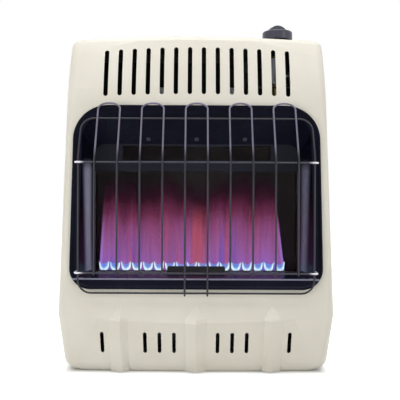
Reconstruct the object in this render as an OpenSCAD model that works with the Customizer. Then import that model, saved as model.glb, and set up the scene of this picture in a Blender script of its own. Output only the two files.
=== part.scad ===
// Gas space heater with a blue flame burner behind a glass window.
// Lengths are in millimetres and angles in degrees. X runs to the right of someone facing the heater,
// Z runs up, and the heater faces -Y. Inside the modules Y is counted from the cover's crease, and
// placed() then moves every piece so that the middle of the whole depth is at zero.

/* [Casing] */
// Greatest width of the painted cover, at its crease
case_w = 468; // [450:1:500]
// Height of the cover at the middle of its top edge
case_h = 592; // [575:1:640]
// Depth of the cover from its crease to its rear edge
case_d = 226; // [220:1:250]
// Thickness of the cover's sheet
cover_t = 1.2; // [0.8:0.1:1.6]
// Height of the crease between the front face and the foot face
crease_z = 92; // [85:1:100]
// How far the front face leans back
face_lean = 6.84; // [5:0.1:8]
// How far the bottom edge stands behind the crease
foot_set = 31; // [25:1:36]
// How much the top edge is arched
crown = 8; // [2:1:10]
// Radius of the cover's upright front edges
edge_r = 14; // [10:1:18]

/* [Louvres] */
// Number of upright slots under the top edge
top_slots = 14; // [8:1:15]
// Distance between neighbouring slots, top and foot
slot_pitch = 24.7; // [22:0.1:26]
// Width of a top slot
top_slot_w = 7.8; // [5:0.2:9]
// Length of a middle top slot
top_slot_h = 86.8; // [60:0.2:90]
// Width of a foot slot
foot_slot_w = 6.3; // [4:0.2:8]
// Length of a foot slot
foot_slot_h = 38; // [25:1:40]

/* [Opening] */
// Width over the enamelled rim round the opening
rim_w = 429; // [415:1:435]
// Height of the rim, measured up the front face
rim_h = 317; // [300:1:320]
// Radius of the rim's upper corners
rim_top_r = 60; // [45:1:65]
// Radius of the rim's lower corners
rim_foot_r = 36; // [30:1:44]
// Depth of the window behind the crease
window_y = 84; // [78:1:88]
// Width of the window
window_w = 368; // [350:1:370]
// Height of the window
window_h = 182.6; // [170:1:186]
// Height of the sill in front of the window
sill_z = 165; // [162:1:168]
// Thickness of the window glass
glass_t = 4; // [3:0.5:5]

/* [Guard] */
// Diameter of the guard wire
wire_d = 3.2; // [2.5:0.1:3.6]
// Number of hairpin wires
hairpins = 5; // [3:1:5]
// Distance between neighbouring upright wires
wire_pitch = 37.85; // [34:0.5:38.5]
// How far the guard's upper part leans back
guard_lean = 23.5; // [20:0.5:24]

/* [Gas parts] */
// Outer diameter of the burner tube
burner_d = 36; // [32:1:38]
// Length of the burner tube
burner_l = 366; // [340:1:368]
// Number of burner ports
ports = 34; // [20:1:36]
// Diameter of the gas inlet hole, for a three eighths inch pipe thread
inlet_hole_d = 15; // [14:0.1:15.5]
// Outer diameter of the supply pipe
supply_d = 10; // [8:0.5:10]
// Outer diameter of the burner pipe
feed_d = 8; // [6:0.5:8]
// Outer diameter of the pilot pipe
pilot_d = 4; // [3:0.5:5]

/* [Controls] */
// Distance of the knob from the middle of the heater
knob_x = 152; // [140:1:160]
// Diameter of the control knob
knob_d = 56; // [44:1:60]
// Height of the knob's skirt
skirt_h = 16; // [14:1:22]
// Height of the grip above the skirt
grip_h = 12; // [6:1:14]
// How far the knob is pushed in to light the pilot
knob_travel = 4; // [2:0.5:4.5]
// Diameter of the igniter button
button_d = 12; // [9:0.5:13]
// How far the igniter button is pressed
button_travel = 6; // [3:0.5:6.5]

/* [Wall fixing] */
// Width of the wall bracket
rail_w = 320; // [280:1:360]
// Distance between the bracket's screw holes, sideways
rail_hole_w = 240; // [200:1:260]
// Distance between the bracket's screw holes, upwards
rail_hole_h = 25; // [20:1:28]
// Diameter of the bracket's screw holes
rail_hole_d = 6; // [4:0.5:7]
// Gap that the bracket keeps between the rear edge and the wall
wall_gap = 14; // [12:1:25]

/* [Hidden] */
$fn = 64;

// Colours, as the photograph shows the pieces
cream = "#ded9cb";
enamel = "#272935";
sooted = "#2b2521";
zinc = "#a9adb0";
brass = "#b99a55";
alloy = "#b9bcc0";
wire_grey = "#33333b";
knob_grey = "#4a4c55";
black = "#17171a";
ceramic = "#ece7dc";
copper = "#a86a45";

// Gaps and small sizes that many pieces share
sheet_t = 1; // thickness of the inner sheet parts
seat = 0.3; // gap between a piece and its seat
fit = 0.05; // gap round a piece that slides or turns
cut = 20; // how far a cutter runs past what it cuts
skin = 0.01; // thickness of a plate inside a hull
hull_sides = 32; // sides of a round inside a hull

// Cover
brow_drop = 122; // height of the curved part under the top
brow_z = case_h - brow_drop; // where the front face starts to curve back
brow_set = 16; // set-back that the curve adds at the top
top_draw = 8; // how much narrower each side is at the top
foot_draw = 5; // how much narrower each side is at the foot
foot_edge_r = 26; // radius of the upright edges at the foot
top_r = 12; // radius of the top edge
foot_r = 6; // radius of the bottom edge, front to back
corner_r = 17; // radius of the bottom corners, seen from the front
crease_rise = 14; // how much the crease rises towards the sides
foot_bow = 7; // how far the foot face curves back at the sides
rear_lip = 14; // width of the flange along the rear edges
foot_lip = 22; // width of the flange under the cover
half_w = case_w / 2;
arc_steps = 5;
front_steps = 8;

// Ribs pressed into the foot face
rib_x = 127; // distance of the outer ribs from the middle
rib_w = 19.5; // width of a rib's wide flank
rib_in_w = 13; // width of an outer rib's inner flank
rib_proud = 11; // height of the middle rib
rib_out_proud = 8; // height of an outer rib
rib_tip = 30; // how far a rib's tip runs above the crease
rib_peak = 8; // how far above the crease a rib is at its full height
rib_foot = 2.4; // height of a rib's lower end
rib_sink = 0.8; // how far a rib's sides start inside the sheet

// Slots
slot_foot_up = 13.2; // height of a middle top slot over the start of the curve
slot_top_drop = 7; // how much lower the top of the outermost slot is
slot_foot_drop = 4; // how much lower its bottom is
foot_slot_z = 36.7; // bottom of the foot slots
foot_slot_in = 37; // first foot slot beside the middle rib
foot_slot_out = 159.4; // slot outside the outer ribs

// Rim and shroud
rim_low = 56; // bottom of the rim, up the face from the crease
rim_side = 14; // width of the flange at the sides and the top, bead included
rim_bead = 3; // flat top of the bead
rim_slope = 3; // inner slope of the bead
rim_t = 4; // how far the rim stands out from the face
rim_lap = 4; // how far the rim covers the cover's edge
collar_depth = 10; // how far the collar reaches behind the face
mouth_w = 400; // width of the recess at its mouth
mouth_top_r = 44; // radius of the mouth's upper corners
mouth_foot_r = 9; // radius of the mouth's lower corners
recess_w = 370; // width of the recess at the window
recess_h = 232; // height of the recess at the window
recess_top_r = 20; // its upper corners
recess_foot_r = 4; // its lower corners
frame_lap = 7; // how far the window frame runs past the recess
frame_t = 1.5;
vent_w = 270; // outlet slot over the window
vent_low_share = 0.413; // bottom and height of the slot, as shares of the plate over the window
vent_h_share = 0.526;
shield_w = 105.4; // pilot shield on the sill
shield_h = 10.4;
shield_foot = 25;
shield_set = 1.5;
shield_r = 4;

// Window and firebox
gasket_t = 1;
glass_lap = 5;
gasket_w = 4;
clip_w = 22;
clip_h = 9;
clip_x = 110;
box_half = 198; // inside half width of the firebox
box_back = 196; // depth of the firebox's rear wall
floor_z = 150;
roof_up = 8; // height of the firebox roof over the recess
box_flange = 10;
stay_x = 140;
stay_w = 40;
stay_low = 190;
stay_h = 180;
duct_depth = 26;
deflector_gap = 4; // gap between the deflector and the parts under the valve
deflector_low = 30; // height of the deflector's front edge above the roof
deflector_rise = 16;
deflector_set = 16;
roof_rim = 20;
roof_slot = 40;

// Burner
burner_x = -7; // middle of the burner, sideways
burner_y = 130;
burner_z = 129;
burner_wall = 1.2;
crest_w = 14;
crest_top = 161;
crest_in = 8;
crest_gap = 3;
cap_lap = 6;
port_w = 1.6;
port_edge = 7;
port_l = 10;
saddle_x = 130;
saddle_w = 52;
saddle_foot = 18;
venturi_l = 28;
throat_r = 9;
bell_r = 15;
injector_gap = 5;
injector_r = 7;
injector_l = 12;
spud_r = 3.5;
spud_l = 5;
spud_bore_r = 0.8;
elbow_r = 5.6;
elbow_bore_r = 2.8;
stand_foot = 14;

// Pilot
pilot_y = 101;
pilot_gap = 14;
pilot_top = 172;
pilot_r = 4.5;
pilot_bore_r = 2.6;
couple_r = 3.2;
electrode_r = 3;
electrode_tip_r = 0.9;
pilot_plate_w = 44;
pilot_plate_d = 17;
pilot_plate_z = 140;
pilot_lug = 8;
pilot_way = 7;
pilot_foot = 134; // bottom of the pilot, the thermocouple and the electrode

// Valve and knob
valve_y = 130;
valve_drop = 32; // depth of the valve under the top
valve_h = 48;
valve_r = 20;
plug_r = 8;
plug_h = 20;
plug_drop = 12;
stem_r = 4;
stem_flat = 1.2;
collar_r = 6.5;
collar_t = 2;
bonnet_r = 15;
bonnet_t = 5;
shelf_w = 130;
shelf_drop = 30;
knob_gap = 4; // gap under the knob, above the middle of the top
knob_wall = 3;
hub_r = 8;
grip_t = 11;
grip_w = 38;
knob_edge = 3;
grip_turn = 20;
port_boss_r = 9;
boss_l = 6;
port_hole_r = 2;
supply_top = 536; // heights of the pipes at the valve
feed_top = 528;
pilot_pipe_top = 522;
magnet_r = 8;
magnet_l = 30;
spring_wire_r = 0.6;
spring_r = 5.6;
spring_turns = 4;
spring_steps = 16;
spring_sides = 6;

// Igniter
button_gap = 57; // distance of the button from the knob, sideways
igniter_y = 155;
igniter_r = 9;
igniter_l = 52;
igniter_nut_h = 6;
igniter_flange_r = 12;
igniter_flange_t = 1.5;
button_proud = 8;
button_in = 14;

// Regulator and inlet
reg_in = 58; // distance of the regulator from the cover's side
reg_z = 62;
reg_r = 26;
reg_t = 24;
reg_cap_r = 12;
reg_cap_t = 12;
inlet_r = 12.7;
inlet_l = 14;
inlet_top = 36;
inlet_low = 16;
nipple_step = 1.1; // the nipple is wider than the bore under it

// Pipe runs beside the firebox
supply_in = 19; // distance of the supply pipe from the cover's side
pipe_wall = 1;
supply_y = 186;
feed_y = 166;
thin_bend = 6;
couple_x = 207;
pilot_x = 214;
lead_x = 221;
couple_low = 124;
pilot_low = 118;
lead_low = 112;
supply_low = 112;
lead_top = 500;
couple_top = 466;
side_y = 88;
lead_side_y = 80;
nut_l = 9;
nut_short = 4;
nut_wall = 4;
lead_r = 1.7;
couple_lead_r = 1.2;
bend = 12;

// Wall bracket and panels
rail_h = 45;
rail_t = 1.6;
rail_z = 478;
hook_x = 70;
hook_w = 28;
hook_h = 15;
hook_z = 27;
bumper_r = 10;
bumper_in = 54; // distance of the bumpers from the cover's side
bumper_z = 60;
panel_t = 1.2;
panel_gap = 3; // gap between the rear panel and the cover's sides
panel_low = 6;
panel_drop = 22;
pan_gap = 6;
pan_flange = 36;
pan_vent_w = 120;
pan_vent_d = 12;
pan_vents = 4;
pan_vent_pitch = 24;
stand_hole_w = 280; // distances between the holes for floor feet
stand_hole_d = 110;
stand_hole_r = 3.3;
inlet_way_r = 22;

// Screws
screw_r = 2;
head_r = 4;
head_h = 2;
screw_l = 8;
drive_w = 1;
drive_l = 4.8;
stay_screw_shares = [0.2, 0.8];
hood_screw_x = 87;
hood_screw_up = 12;

// Derived places
mid_top = half_w - top_draw;
roof_z = sill_z + recess_h + roof_up;
vent_z = sill_z + window_h + (recess_h - window_h) * vent_low_share;
vent_h = (recess_h - window_h) * vent_h_share;
deflector_w = 2 * (knob_x - magnet_r - deflector_gap);
valve_top = case_h - valve_drop;
shelf_z = valve_top + fit;
button_x = knob_x - button_gap;
reg_x = half_w - reg_in;
nipple_r = inlet_hole_d / 2 + nipple_step;
supply_x = half_w - supply_in;
bumper_x = half_w - bumper_in;
panel_high = case_h - panel_drop;
rail_back = case_d + wall_gap;
panel_y = case_d - cover_t - seat - panel_t;
frame_back = window_y + frame_t;
glass_y = frame_back + gasket_t;
hoop_y = -9.7; // middle of the guard's upright wires
guard_top = 467; // top of the hairpins
bar_low = 176.8; // heights of the three crossbars
bar_mid = 362;
bar_top = 438;
bar_half = 203;
guard_half = 198;
guard_foot = 143;
guard_r = 4;
arch_h = 10;
arch_points = 10;
wire_sides = 12;
wire_step = 16; // angle between the rings of a bend
bar_in = 5;
frame_r = 22;
wire_r = wire_d / 2;
guard_bend = bar_mid + wire_d; // where the guard starts to lean back
wire_gap = wire_d + fit;
hoop_front = hoop_y - wire_r;
mid_y = (rail_back + hoop_front) / 2;
knob_low = case_h + knob_gap;
venturi_x = burner_x + burner_l / 2;
injector_x = venturi_x + venturi_l + injector_gap;
feed_x = injector_x + injector_l / 2;
stand_w = 2 * (injector_l - seat);
crest_l = burner_l - 2 * crest_in;
plug_low = valve_top - plug_drop - plug_h;
stem_top = knob_low + skirt_h - knob_wall - fit;
igniter_top = top_at(button_x - igniter_flange_r) + seat + igniter_flange_t;
shelf_x = (knob_x + button_x) / 2;
mouth_low = (sill_z - crease_z) / cos(face_lean);
mouth_h = rim_low + rim_h - rim_side - mouth_low;
hood_angle = atan2(
  crease_z + (mouth_low + mouth_h) * cos(face_lean) - sill_z - recess_h,
  window_y - (mouth_low + mouth_h) * sin(face_lean)
);
hook_back = hoop_y + 2 * wire_gap + wire_r;

// Height of the cover's top at a place across it
function top_at(x) = case_h - crown * pow(x / mid_top, 2);

module placed() {
  translate([0, -mid_y, 0]) children();
}

// A box from one corner to the opposite one
module block(a, b) {
  translate(a) cube(b - a);
}

// A disc or bar along Y, from y0 to y1
module along_y(x, y0, y1, z, r) {
  translate([x, y0, z]) rotate([-90, 0, 0]) cylinder(r = r, h = y1 - y0);
}

// A disc or bar along X, from x0 to x1
module along_x(x0, x1, y, z, r) {
  translate([x0, y, z]) rotate([0, 90, 0]) cylinder(r = r, h = x1 - x0);
}

module rod(a, b, r) {
  d = b - a;
  translate(a) rotate([0, acos(d[2] / norm(d)), atan2(d[1], d[0])]) cylinder(r = r, h = norm(d));
}

function unit(v) = v / norm(v);

// A round wire or pipe along straight runs, with a bend of radius turn_r at each inner point
module route(p, r, turn_r) {
  last = len(p) - 1;
  function trim(i) = (i == 0 || i == last) ? 0
    : turn_r / tan(acos(unit(p[i - 1] - p[i]) * unit(p[i + 1] - p[i])) / 2);
  for (i = [0 : last - 1]) {
    way = unit(p[i + 1] - p[i]);
    rod(p[i] + way * trim(i), p[i + 1] - way * trim(i + 1), r);
  }
  for (i = [1 : last - 1]) {
    back = unit(p[i - 1] - p[i]);
    ahead = unit(p[i + 1] - p[i]);
    angle = acos(back * ahead);
    centre = p[i] + unit(back + ahead) * turn_r / sin(angle / 2);
    axis_x = unit(p[i] + back * trim(i) - centre);
    axis_z = unit(cross(ahead, back));
    axis_y = cross(axis_z, axis_x);
    multmatrix([
      [axis_x[0], axis_y[0], axis_z[0], centre[0]],
      [axis_x[1], axis_y[1], axis_z[1], centre[1]],
      [axis_x[2], axis_y[2], axis_z[2], centre[2]],
      [0, 0, 0, 1]
    ]) rotate_extrude(angle = 180 - angle) translate([turn_r, 0]) circle(r);
  }
}

// A rectangle standing on the X axis, with two radii
module rounded(w, h, top, foot) {
  translate([-w / 2, foot]) square([w, h - top - foot]);
  translate([-w / 2 + top, h - top]) square([w - 2 * top, top]);
  translate([-w / 2 + foot, 0]) square([w - 2 * foot, foot]);
  for (side = [-1, 1]) {
    translate([side * (w / 2 - top), h - top]) circle(top);
    translate([side * (w / 2 - foot), foot]) circle(foot);
  }
}

// An upright slot with round ends, cut through the front sheet
module slot(x, z0, z1, w) {
  translate([x, case_d / 2, 0]) rotate([90, 0, 0]) linear_extrude(case_d / 2 + cut) {
    translate([-w / 2, z0 + w / 2]) square([w, z1 - z0 - w]);
    translate([0, z0 + w / 2]) circle(w / 2);
    translate([0, z1 - w / 2]) circle(w / 2);
  }
}

// Puts a flat shape on the front face: its Y runs up the face, its Z outwards
module on_face() {
  translate([0, 0, crease_z]) rotate([90 - face_lean, 0, 0]) children();
}

// Depth of the cover's front at a height
function face_y(z) = z < crease_z
  ? foot_set * (crease_z - z) / crease_z
  : (z - crease_z) * tan(face_lean)
    + (z > brow_z ? brow_set * pow((z - brow_z) / (case_h - brow_z), 2) : 0);

// Half the cover's width at a height
function side_x(z) = z < crease_z
  ? half_w - foot_draw * pow((crease_z - z) / crease_z, 2)
  : half_w - top_draw * pow((z - crease_z) / (case_h - crease_z), 2);

function upright_r(z) = z < crease_z
  ? edge_r + (foot_edge_r - edge_r) * (crease_z - z) / crease_z
  : edge_r;

// Points across the front as [x, set-back], with a round edge at each side
function across(w, r) = concat(
  [for (i = [0 : arc_steps]) let (a = 90 * i / arc_steps) [-w + r * (1 - cos(a)), r * (1 - sin(a))]],
  [for (i = [1 : front_steps - 1]) [(w - r) * (2 * i / front_steps - 1), 0]],
  [for (i = [arc_steps : -1 : 0]) let (a = 90 * i / arc_steps) [w - r * (1 - cos(a)), r * (1 - sin(a))]]
);

// One level of the cover: front points with their rear points, raised and set back towards the sides
function level(w, y, r, rear, z, rise, bow) = [
  for (p = across(w, r)) let (k = pow(p[0] / w, 2))
    each [[p[0], y + bow * k + p[1], z + rise * k], [p[0], rear, z + rise * k]]
];

function foot_level(e, rear, a) = let (
  z = e + (corner_r - e) * (1 - sin(a))
) level(
  side_x(z) - e - (corner_r - e) * (1 - cos(a)), face_y(z) + e + (foot_r - e) * (1 - cos(a)),
  upright_r(z) - e, rear, z, 0, foot_bow * (1 - z / crease_z)
);

function brow_level(e, rear, s) = let (
  z = brow_z + (case_h - top_r - brow_z) * s
) level(side_x(z) - e, face_y(z) + e, upright_r(z) - e, rear, z, -crown * s * s, 0);

function top_level(e, rear, a) = let (
  z = case_h - top_r,
  turn = (top_r - e) * (1 - cos(a))
) level(
  side_x(z) - e - turn, face_y(z) + e + turn, upright_r(z) - e, rear,
  z + (top_r - e) * sin(a), -crown, 0
);

// The cover's outer form, drawn in by e on every side but the rear
module cover_form(e, rear) {
  points = concat(
    [for (i = [0 : arc_steps]) each foot_level(e, rear, 90 * (1 - i / arc_steps))],
    level(
      side_x(crease_z) - e, e, upright_r(crease_z) - e, rear,
      crease_z, crease_rise, crease_rise * tan(face_lean)
    ),
    [for (i = [0 : arc_steps - 1]) each brow_level(e, rear, i / arc_steps)],
    [for (i = [0 : arc_steps]) each top_level(e, rear, 90 * i / arc_steps)]
  );
  hull() polyhedron(points = points, faces = [[for (i = [0 : len(points) - 1]) i]]);
}

// A roof-shaped rib with a pointed top, bent where the cover is, drawn in by e
module rib(x, left, right, proud, e) {
  tip_z = crease_z + rib_tip;
  peak_z = crease_z + rib_peak;
  fold_z = crease_z + crease_rise * pow(x / half_w, 2);
  deep = foot_set + foot_r + rib_w;
  rows = [[face_y(peak_z) + e, peak_z], [face_y(fold_z) + e, fold_z], [foot_set + e, rib_foot + e]];
  polyhedron(points = concat(
    [[x, face_y(tip_z) + e, tip_z - e]],
    [for (row = rows) [x, row[0] - proud, row[1]]],
    [for (row = rows) [x - left + e, row[0] + rib_sink, row[1]]],
    [for (row = rows) [x + right - e, row[0] + rib_sink, row[1]]],
    [for (side = [e - left, right - e]) each [[x + side, deep, peak_z], [x + side, deep, rib_foot + e]]],
    [[x, deep, tip_z - e]]
  ), faces = [
    [1, 2, 5, 4], [2, 3, 6, 5], [1, 7, 8, 2], [2, 8, 9, 3], [0, 1, 4], [0, 7, 1],
    [0, 4, 10], [0, 10, 14], [0, 14, 12], [0, 12, 7],
    [4, 5, 6, 11, 10], [7, 12, 13, 9, 8], [3, 9, 13, 11, 6], [14, 10, 11, 13, 12]
  ]);
}

module ribs(e) {
  rib(0, rib_w, rib_w, rib_proud, e);
  rib(-rib_x, rib_w, rib_in_w, rib_out_proud, e);
  rib(rib_x, rib_in_w, rib_w, rib_out_proud, e);
}

module top_louvres() {
  span = (top_slots - 1) / 2;
  low = brow_z + slot_foot_up;
  for (i = [0 : top_slots - 1]) {
    k = pow((i - span) / span, 2);
    slot(
      (i - span) * slot_pitch, low - slot_foot_drop * k,
      low + top_slot_h - slot_top_drop * k, top_slot_w
    );
  }
}

module foot_louvres() {
  for (side = [-1, 1]) {
    for (i = [0 : 2]) {
      slot(side * (foot_slot_in + i * slot_pitch), foot_slot_z, foot_slot_z + foot_slot_h, foot_slot_w);
    }
    slot(side * foot_slot_out, foot_slot_z, foot_slot_z + foot_slot_h, foot_slot_w);
  }
}

// Places of the screws that hold the cover to the rear panel
cover_screw_x = side_x(case_h) - cover_t - rear_lip / 2;
cover_screw_z = [for (share = [0.12, 0.5, 0.88]) case_h * share];

module at_cover_screws() {
  for (side = [-1, 1]) for (z = cover_screw_z) translate([side * cover_screw_x, 0, z]) children();
}

module front_cover() {
  inner_half = side_x(case_h) - cover_t - rear_lip;
  color(cream) difference() {
    union() {
      cover_form(0, case_d);
      ribs(0);
    }
    cover_form(cover_t, case_d - cover_t);
    ribs(cover_t);
    block([-inner_half, panel_y, foot_lip], [inner_half, case_d + cut, case_h - top_r - rear_lip]);
    block(
      [-half_w + corner_r + foot_lip, foot_set + foot_lip + foot_bow, -cut],
      [half_w - corner_r - foot_lip, case_d - foot_lip, foot_r]
    );
    on_face() translate([0, rim_low + rim_lap, -cut]) linear_extrude(2 * cut)
      rounded(rim_w - 2 * rim_lap, rim_h - 2 * rim_lap, rim_top_r - rim_lap, rim_foot_r - rim_lap);
    top_louvres();
    foot_louvres();
    translate([knob_x, valve_y, case_h - cut - crown]) cylinder(r = hub_r + knob_gap, h = 2 * cut);
    translate([button_x, igniter_y, case_h - cut - crown]) cylinder(r = igniter_r + seat, h = 2 * cut);
    at_cover_screws() along_y(0, panel_y, case_d + cut, 0, screw_r + seat);
  }
}

// Rear panel with its side flanges, and slots for the hooks of the wall bracket
module back_panel() {
  wide = side_x(case_h) - cover_t - panel_gap;
  slot_z = rail_z + hook_z;
  color(zinc) difference() {
    union() {
      block([-wide, panel_y, panel_low], [wide, panel_y + panel_t, panel_high]);
      for (side = [-1, 1]) {
        block(
          [side < 0 ? -wide : wide - panel_t, panel_y - rear_lip, panel_low + pan_flange],
          [side < 0 ? -wide + panel_t : wide, panel_y + fit, panel_high - pan_flange]
        );
      }
    }
    for (side = [-1, 1]) {
      block(
        [side * hook_x - hook_w / 2 - seat, panel_y - fit, slot_z - hook_h],
        [side * hook_x + hook_w / 2 + seat, panel_y + cut, slot_z + rail_t + seat]
      );
      along_y(side * bumper_x, panel_y - fit, panel_y + cut, bumper_z, bumper_r / 2 + fit);
    }
    at_cover_screws() along_y(0, panel_y - cut, panel_y + cut, 0, screw_r + fit);
    at_chassis_screws() along_y(0, panel_y - cut, panel_y + cut, 0, screw_r + fit);
  }
}

// Tray across the bottom, on the cover's lower flange
pan_low = cover_t + seat;
pan_front = foot_set + foot_r + foot_bow + pan_gap;
pan_half = half_w - foot_draw - corner_r - pan_gap;

module base_pan() {
  color(zinc) difference() {
    union() {
      block([-pan_half, pan_front, pan_low], [pan_half, panel_y - seat, pan_low + sheet_t]);
      block(
        [-pan_half, panel_y - seat - sheet_t, pan_low],
        [pan_half, panel_y - seat, pan_low + pan_flange]
      );
    }
    for (i = [0 : pan_vents - 1]) for (side = [-1, 1]) {
      y = burner_y + (i - (pan_vents - 1) / 2) * pan_vent_pitch - pan_vent_d / 2;
      x = side * pan_vent_w * (1 + pan_vent_d / pan_vent_w) / 2;
      block([x - pan_vent_w / 2, y, 0], [x + pan_vent_w / 2, y + pan_vent_d, foot_r]);
    }
    for (x = [-stand_hole_w / 2, stand_hole_w / 2]) for (side = [-1, 1]) {
      translate([x, burner_y + side * stand_hole_d / 2, 0]) cylinder(r = stand_hole_r, h = foot_r);
    }
    translate([reg_x, supply_y, 0]) cylinder(r = inlet_way_r, h = foot_r);
    at_pan_screws() along_y(0, panel_y - cut, panel_y + cut, 0, screw_r + fit);
  }
}

module wall_bracket() {
  hook = rail_z + hook_z;
  color(zinc) difference() {
    union() {
      block([-rail_w / 2, rail_back - rail_t, rail_z], [rail_w / 2, rail_back, rail_z + rail_h]);
      for (side = [-1, 1]) {
        block(
          [side * hook_x - hook_w / 2, panel_y - seat - rail_t, hook],
          [side * hook_x + hook_w / 2, rail_back - rail_t + fit, hook + rail_t]
        );
        block(
          [side * hook_x - hook_w / 2, panel_y - seat - rail_t, hook],
          [side * hook_x + hook_w / 2, panel_y - seat, hook + hook_h]
        );
      }
    }
    for (x = [-1, 1]) for (z = [-1, 1]) {
      along_y(
        x * rail_hole_w / 2, rail_back - cut, rail_back + cut,
        rail_z + (rail_h + z * rail_hole_h) / 2, rail_hole_d / 2
      );
    }
  }
}

module rear_bumpers() {
  color(black) for (side = [-1, 1]) {
    along_y(side * bumper_x, panel_y + panel_t, rail_back, bumper_z, bumper_r);
    along_y(side * bumper_x, panel_y - seat, panel_y + panel_t, bumper_z, bumper_r / 2);
  }
}

// Screws along +Z, with their heads above the surface that they hold
module screw() {
  difference() {
    union() {
      translate([0, 0, fit]) cylinder(r = head_r, h = head_h);
      translate([0, 0, -screw_l]) cylinder(r = screw_r, h = screw_l + head_h);
    }
    for (turn = [0, 90]) rotate([0, 0, turn])
      block([-drive_l / 2, -drive_w / 2, head_h / 2 + fit], [drive_l / 2, drive_w / 2, head_h + cut]);
  }
}

module at_stay_screws() {
  for (side = [-1, 1]) for (share = stay_screw_shares) {
    translate([side * (stay_x + stay_w / 4), 0, stay_low + stay_h * share]) children();
  }
}

module at_pan_screws() {
  for (side = [-1, 1]) translate([side * stay_x, 0, pan_low + pan_flange - 2 * head_r]) children();
}

module at_shelf_screws() {
  for (side = [-1, 1]) translate([shelf_x + side * shelf_w / 3, 0, shelf_z - shelf_drop / 2]) children();
}

module at_chassis_screws() {
  at_stay_screws() children();
  at_pan_screws() children();
  at_shelf_screws() children();
}

// Slopes up the hood: its Y runs up the hood and forwards, its Z into the recess
module on_hood() {
  translate([0, window_y, sill_z + recess_h]) rotate([180 - hood_angle, 0, 0]) children();
}

module at_hood_screws() {
  for (x = [-hood_screw_x, 0, hood_screw_x]) on_hood() translate([x, hood_screw_up, 0]) children();
}

// A plate parallel to the face, inside the rim's outline by e, from z0 to z1 above the face
module rim_plate(e, z0, z1) {
  on_face() translate([0, rim_low + e, z0]) linear_extrude(z1 - z0)
    rounded(rim_w - 2 * e, rim_h - 2 * e, rim_top_r - e, rim_foot_r - e);
}

// The recess between the mouth and the window, drawn out by e
module recess(e, rear) {
  hull() {
    on_face() translate([0, mouth_low - e, -skin]) linear_extrude(2 * skin)
      rounded(mouth_w + 2 * e, mouth_h + 2 * e, mouth_top_r + e, mouth_foot_r + e, $fn = hull_sides);
    translate([0, rear, sill_z - e]) rotate([90, 0, 0]) linear_extrude(skin)
      rounded(recess_w + 2 * e, recess_h + 2 * e, recess_top_r + e, recess_foot_r + e, $fn = hull_sides);
  }
}

module opening_shroud() {
  lap = rim_lap + seat;
  flange_half = recess_w / 2 + frame_lap;
  color(enamel) difference() {
    union() {
      rim_plate(0, fit, rim_t);
      rim_plate(lap, -collar_depth, rim_t / 2);
      recess(sheet_t, window_y);
      block(
        [-flange_half, window_y - sheet_t, sill_z - frame_lap],
        [flange_half, window_y, sill_z + recess_h]
      );
    }
    difference() {
      rim_plate(lap + sheet_t, -cut - collar_depth, -sheet_t);
      recess(sheet_t, window_y);
    }
    hull() {
      rim_plate(rim_bead, rim_t, rim_t + skin, $fn = hull_sides);
      rim_plate(rim_bead + rim_slope, 0, skin, $fn = hull_sides);
    }
    recess(0, window_y + skin);
    at_hood_screws() translate([0, 0, -cut]) cylinder(r = screw_r + fit, h = cut + screw_r);
    at_bar_ends() along_y(0, 0, case_d / 2, 0, wire_r + fit);
  }
}

module window_frame() {
  half = box_half + box_flange;
  tab = 2 * head_r;
  color(enamel) difference() {
    union() {
      block([-half, window_y + fit, floor_z - box_flange], [half, frame_back, roof_z + box_flange]);
      for (x = [-hood_screw_x, 0, hood_screw_x]) on_hood()
        block([x - tab, -sheet_t, -sheet_t - panel_t], [x + tab, hood_screw_up + tab, -sheet_t]);
    }
    block([-window_w / 2, 0, sill_z], [window_w / 2, case_d, sill_z + window_h]);
    block([-vent_w / 2, 0, vent_z], [vent_w / 2, case_d, vent_z + vent_h]);
    at_hood_screws() translate([0, 0, -cut]) cylinder(r = screw_r + fit, h = cut);
  }
}

module glass_gasket() {
  side = window_w / 2;
  color(ceramic) difference() {
    block(
      [-side - gasket_w, frame_back + fit, sill_z - gasket_w],
      [side + gasket_w, glass_y - fit, sill_z + window_h + gasket_w]
    );
    block([-side, 0, sill_z], [side, case_d, sill_z + window_h]);
  }
}

module window_glass() {
  side = window_w / 2 + glass_lap;
  color([0.3, 0.28, 0.3, 0.35]) block(
    [-side, glass_y, sill_z - glass_lap], [side, glass_y + glass_t, sill_z + window_h + glass_lap]
  );
}

// A clip bent over the edge of the glass, standing on the window frame
module glass_clip(up) {
  glass_back = glass_y + glass_t;
  half = clip_w / 2;
  block([-half, frame_back + fit, seat], [half, frame_back + fit + sheet_t, clip_h]);
  block([-half, frame_back + fit, seat], [half, glass_back + fit + sheet_t, seat + sheet_t]);
  block([-half, glass_back + fit, -glass_lap], [half, glass_back + fit + sheet_t, seat + sheet_t]);
}

module glass_clips() {
  color(zinc) for (x = [-clip_x, clip_x]) {
    translate([x, 0, sill_z + window_h + glass_lap]) glass_clip();
    translate([x, 0, sill_z - glass_lap]) mirror([0, 0, 1]) glass_clip();
  }
}

// Shield in front of the pilot, standing on the sill
module pilot_shield() {
  half = shield_w / 2;
  front = window_y - shield_set - sheet_t;
  low = sill_z + fit;
  color(black) {
    translate([0, front + sheet_t, low]) rotate([90, 0, 0]) linear_extrude(sheet_t) {
      translate([-half, 0]) square([shield_w, shield_h - shield_r]);
      translate([-half + shield_r, 0]) square([shield_w - 2 * shield_r, shield_h]);
      for (side = [-1, 1]) translate([side * (half - shield_r), shield_h - shield_r]) circle(shield_r);
    }
    block([-half, front + sheet_t - shield_foot, low], [half, front + sheet_t, low + sheet_t]);
  }
}

// Sleeve that leads warm air out through the slot over the window
module outlet_duct() {
  half = vent_w / 2;
  color(enamel) difference() {
    block(
      [-half - sheet_t, frame_back + fit, vent_z - sheet_t],
      [half + sheet_t, frame_back + duct_depth, vent_z + vent_h + sheet_t]
    );
    block([-half, 0, vent_z], [half, case_d, vent_z + vent_h]);
  }
}

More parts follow.
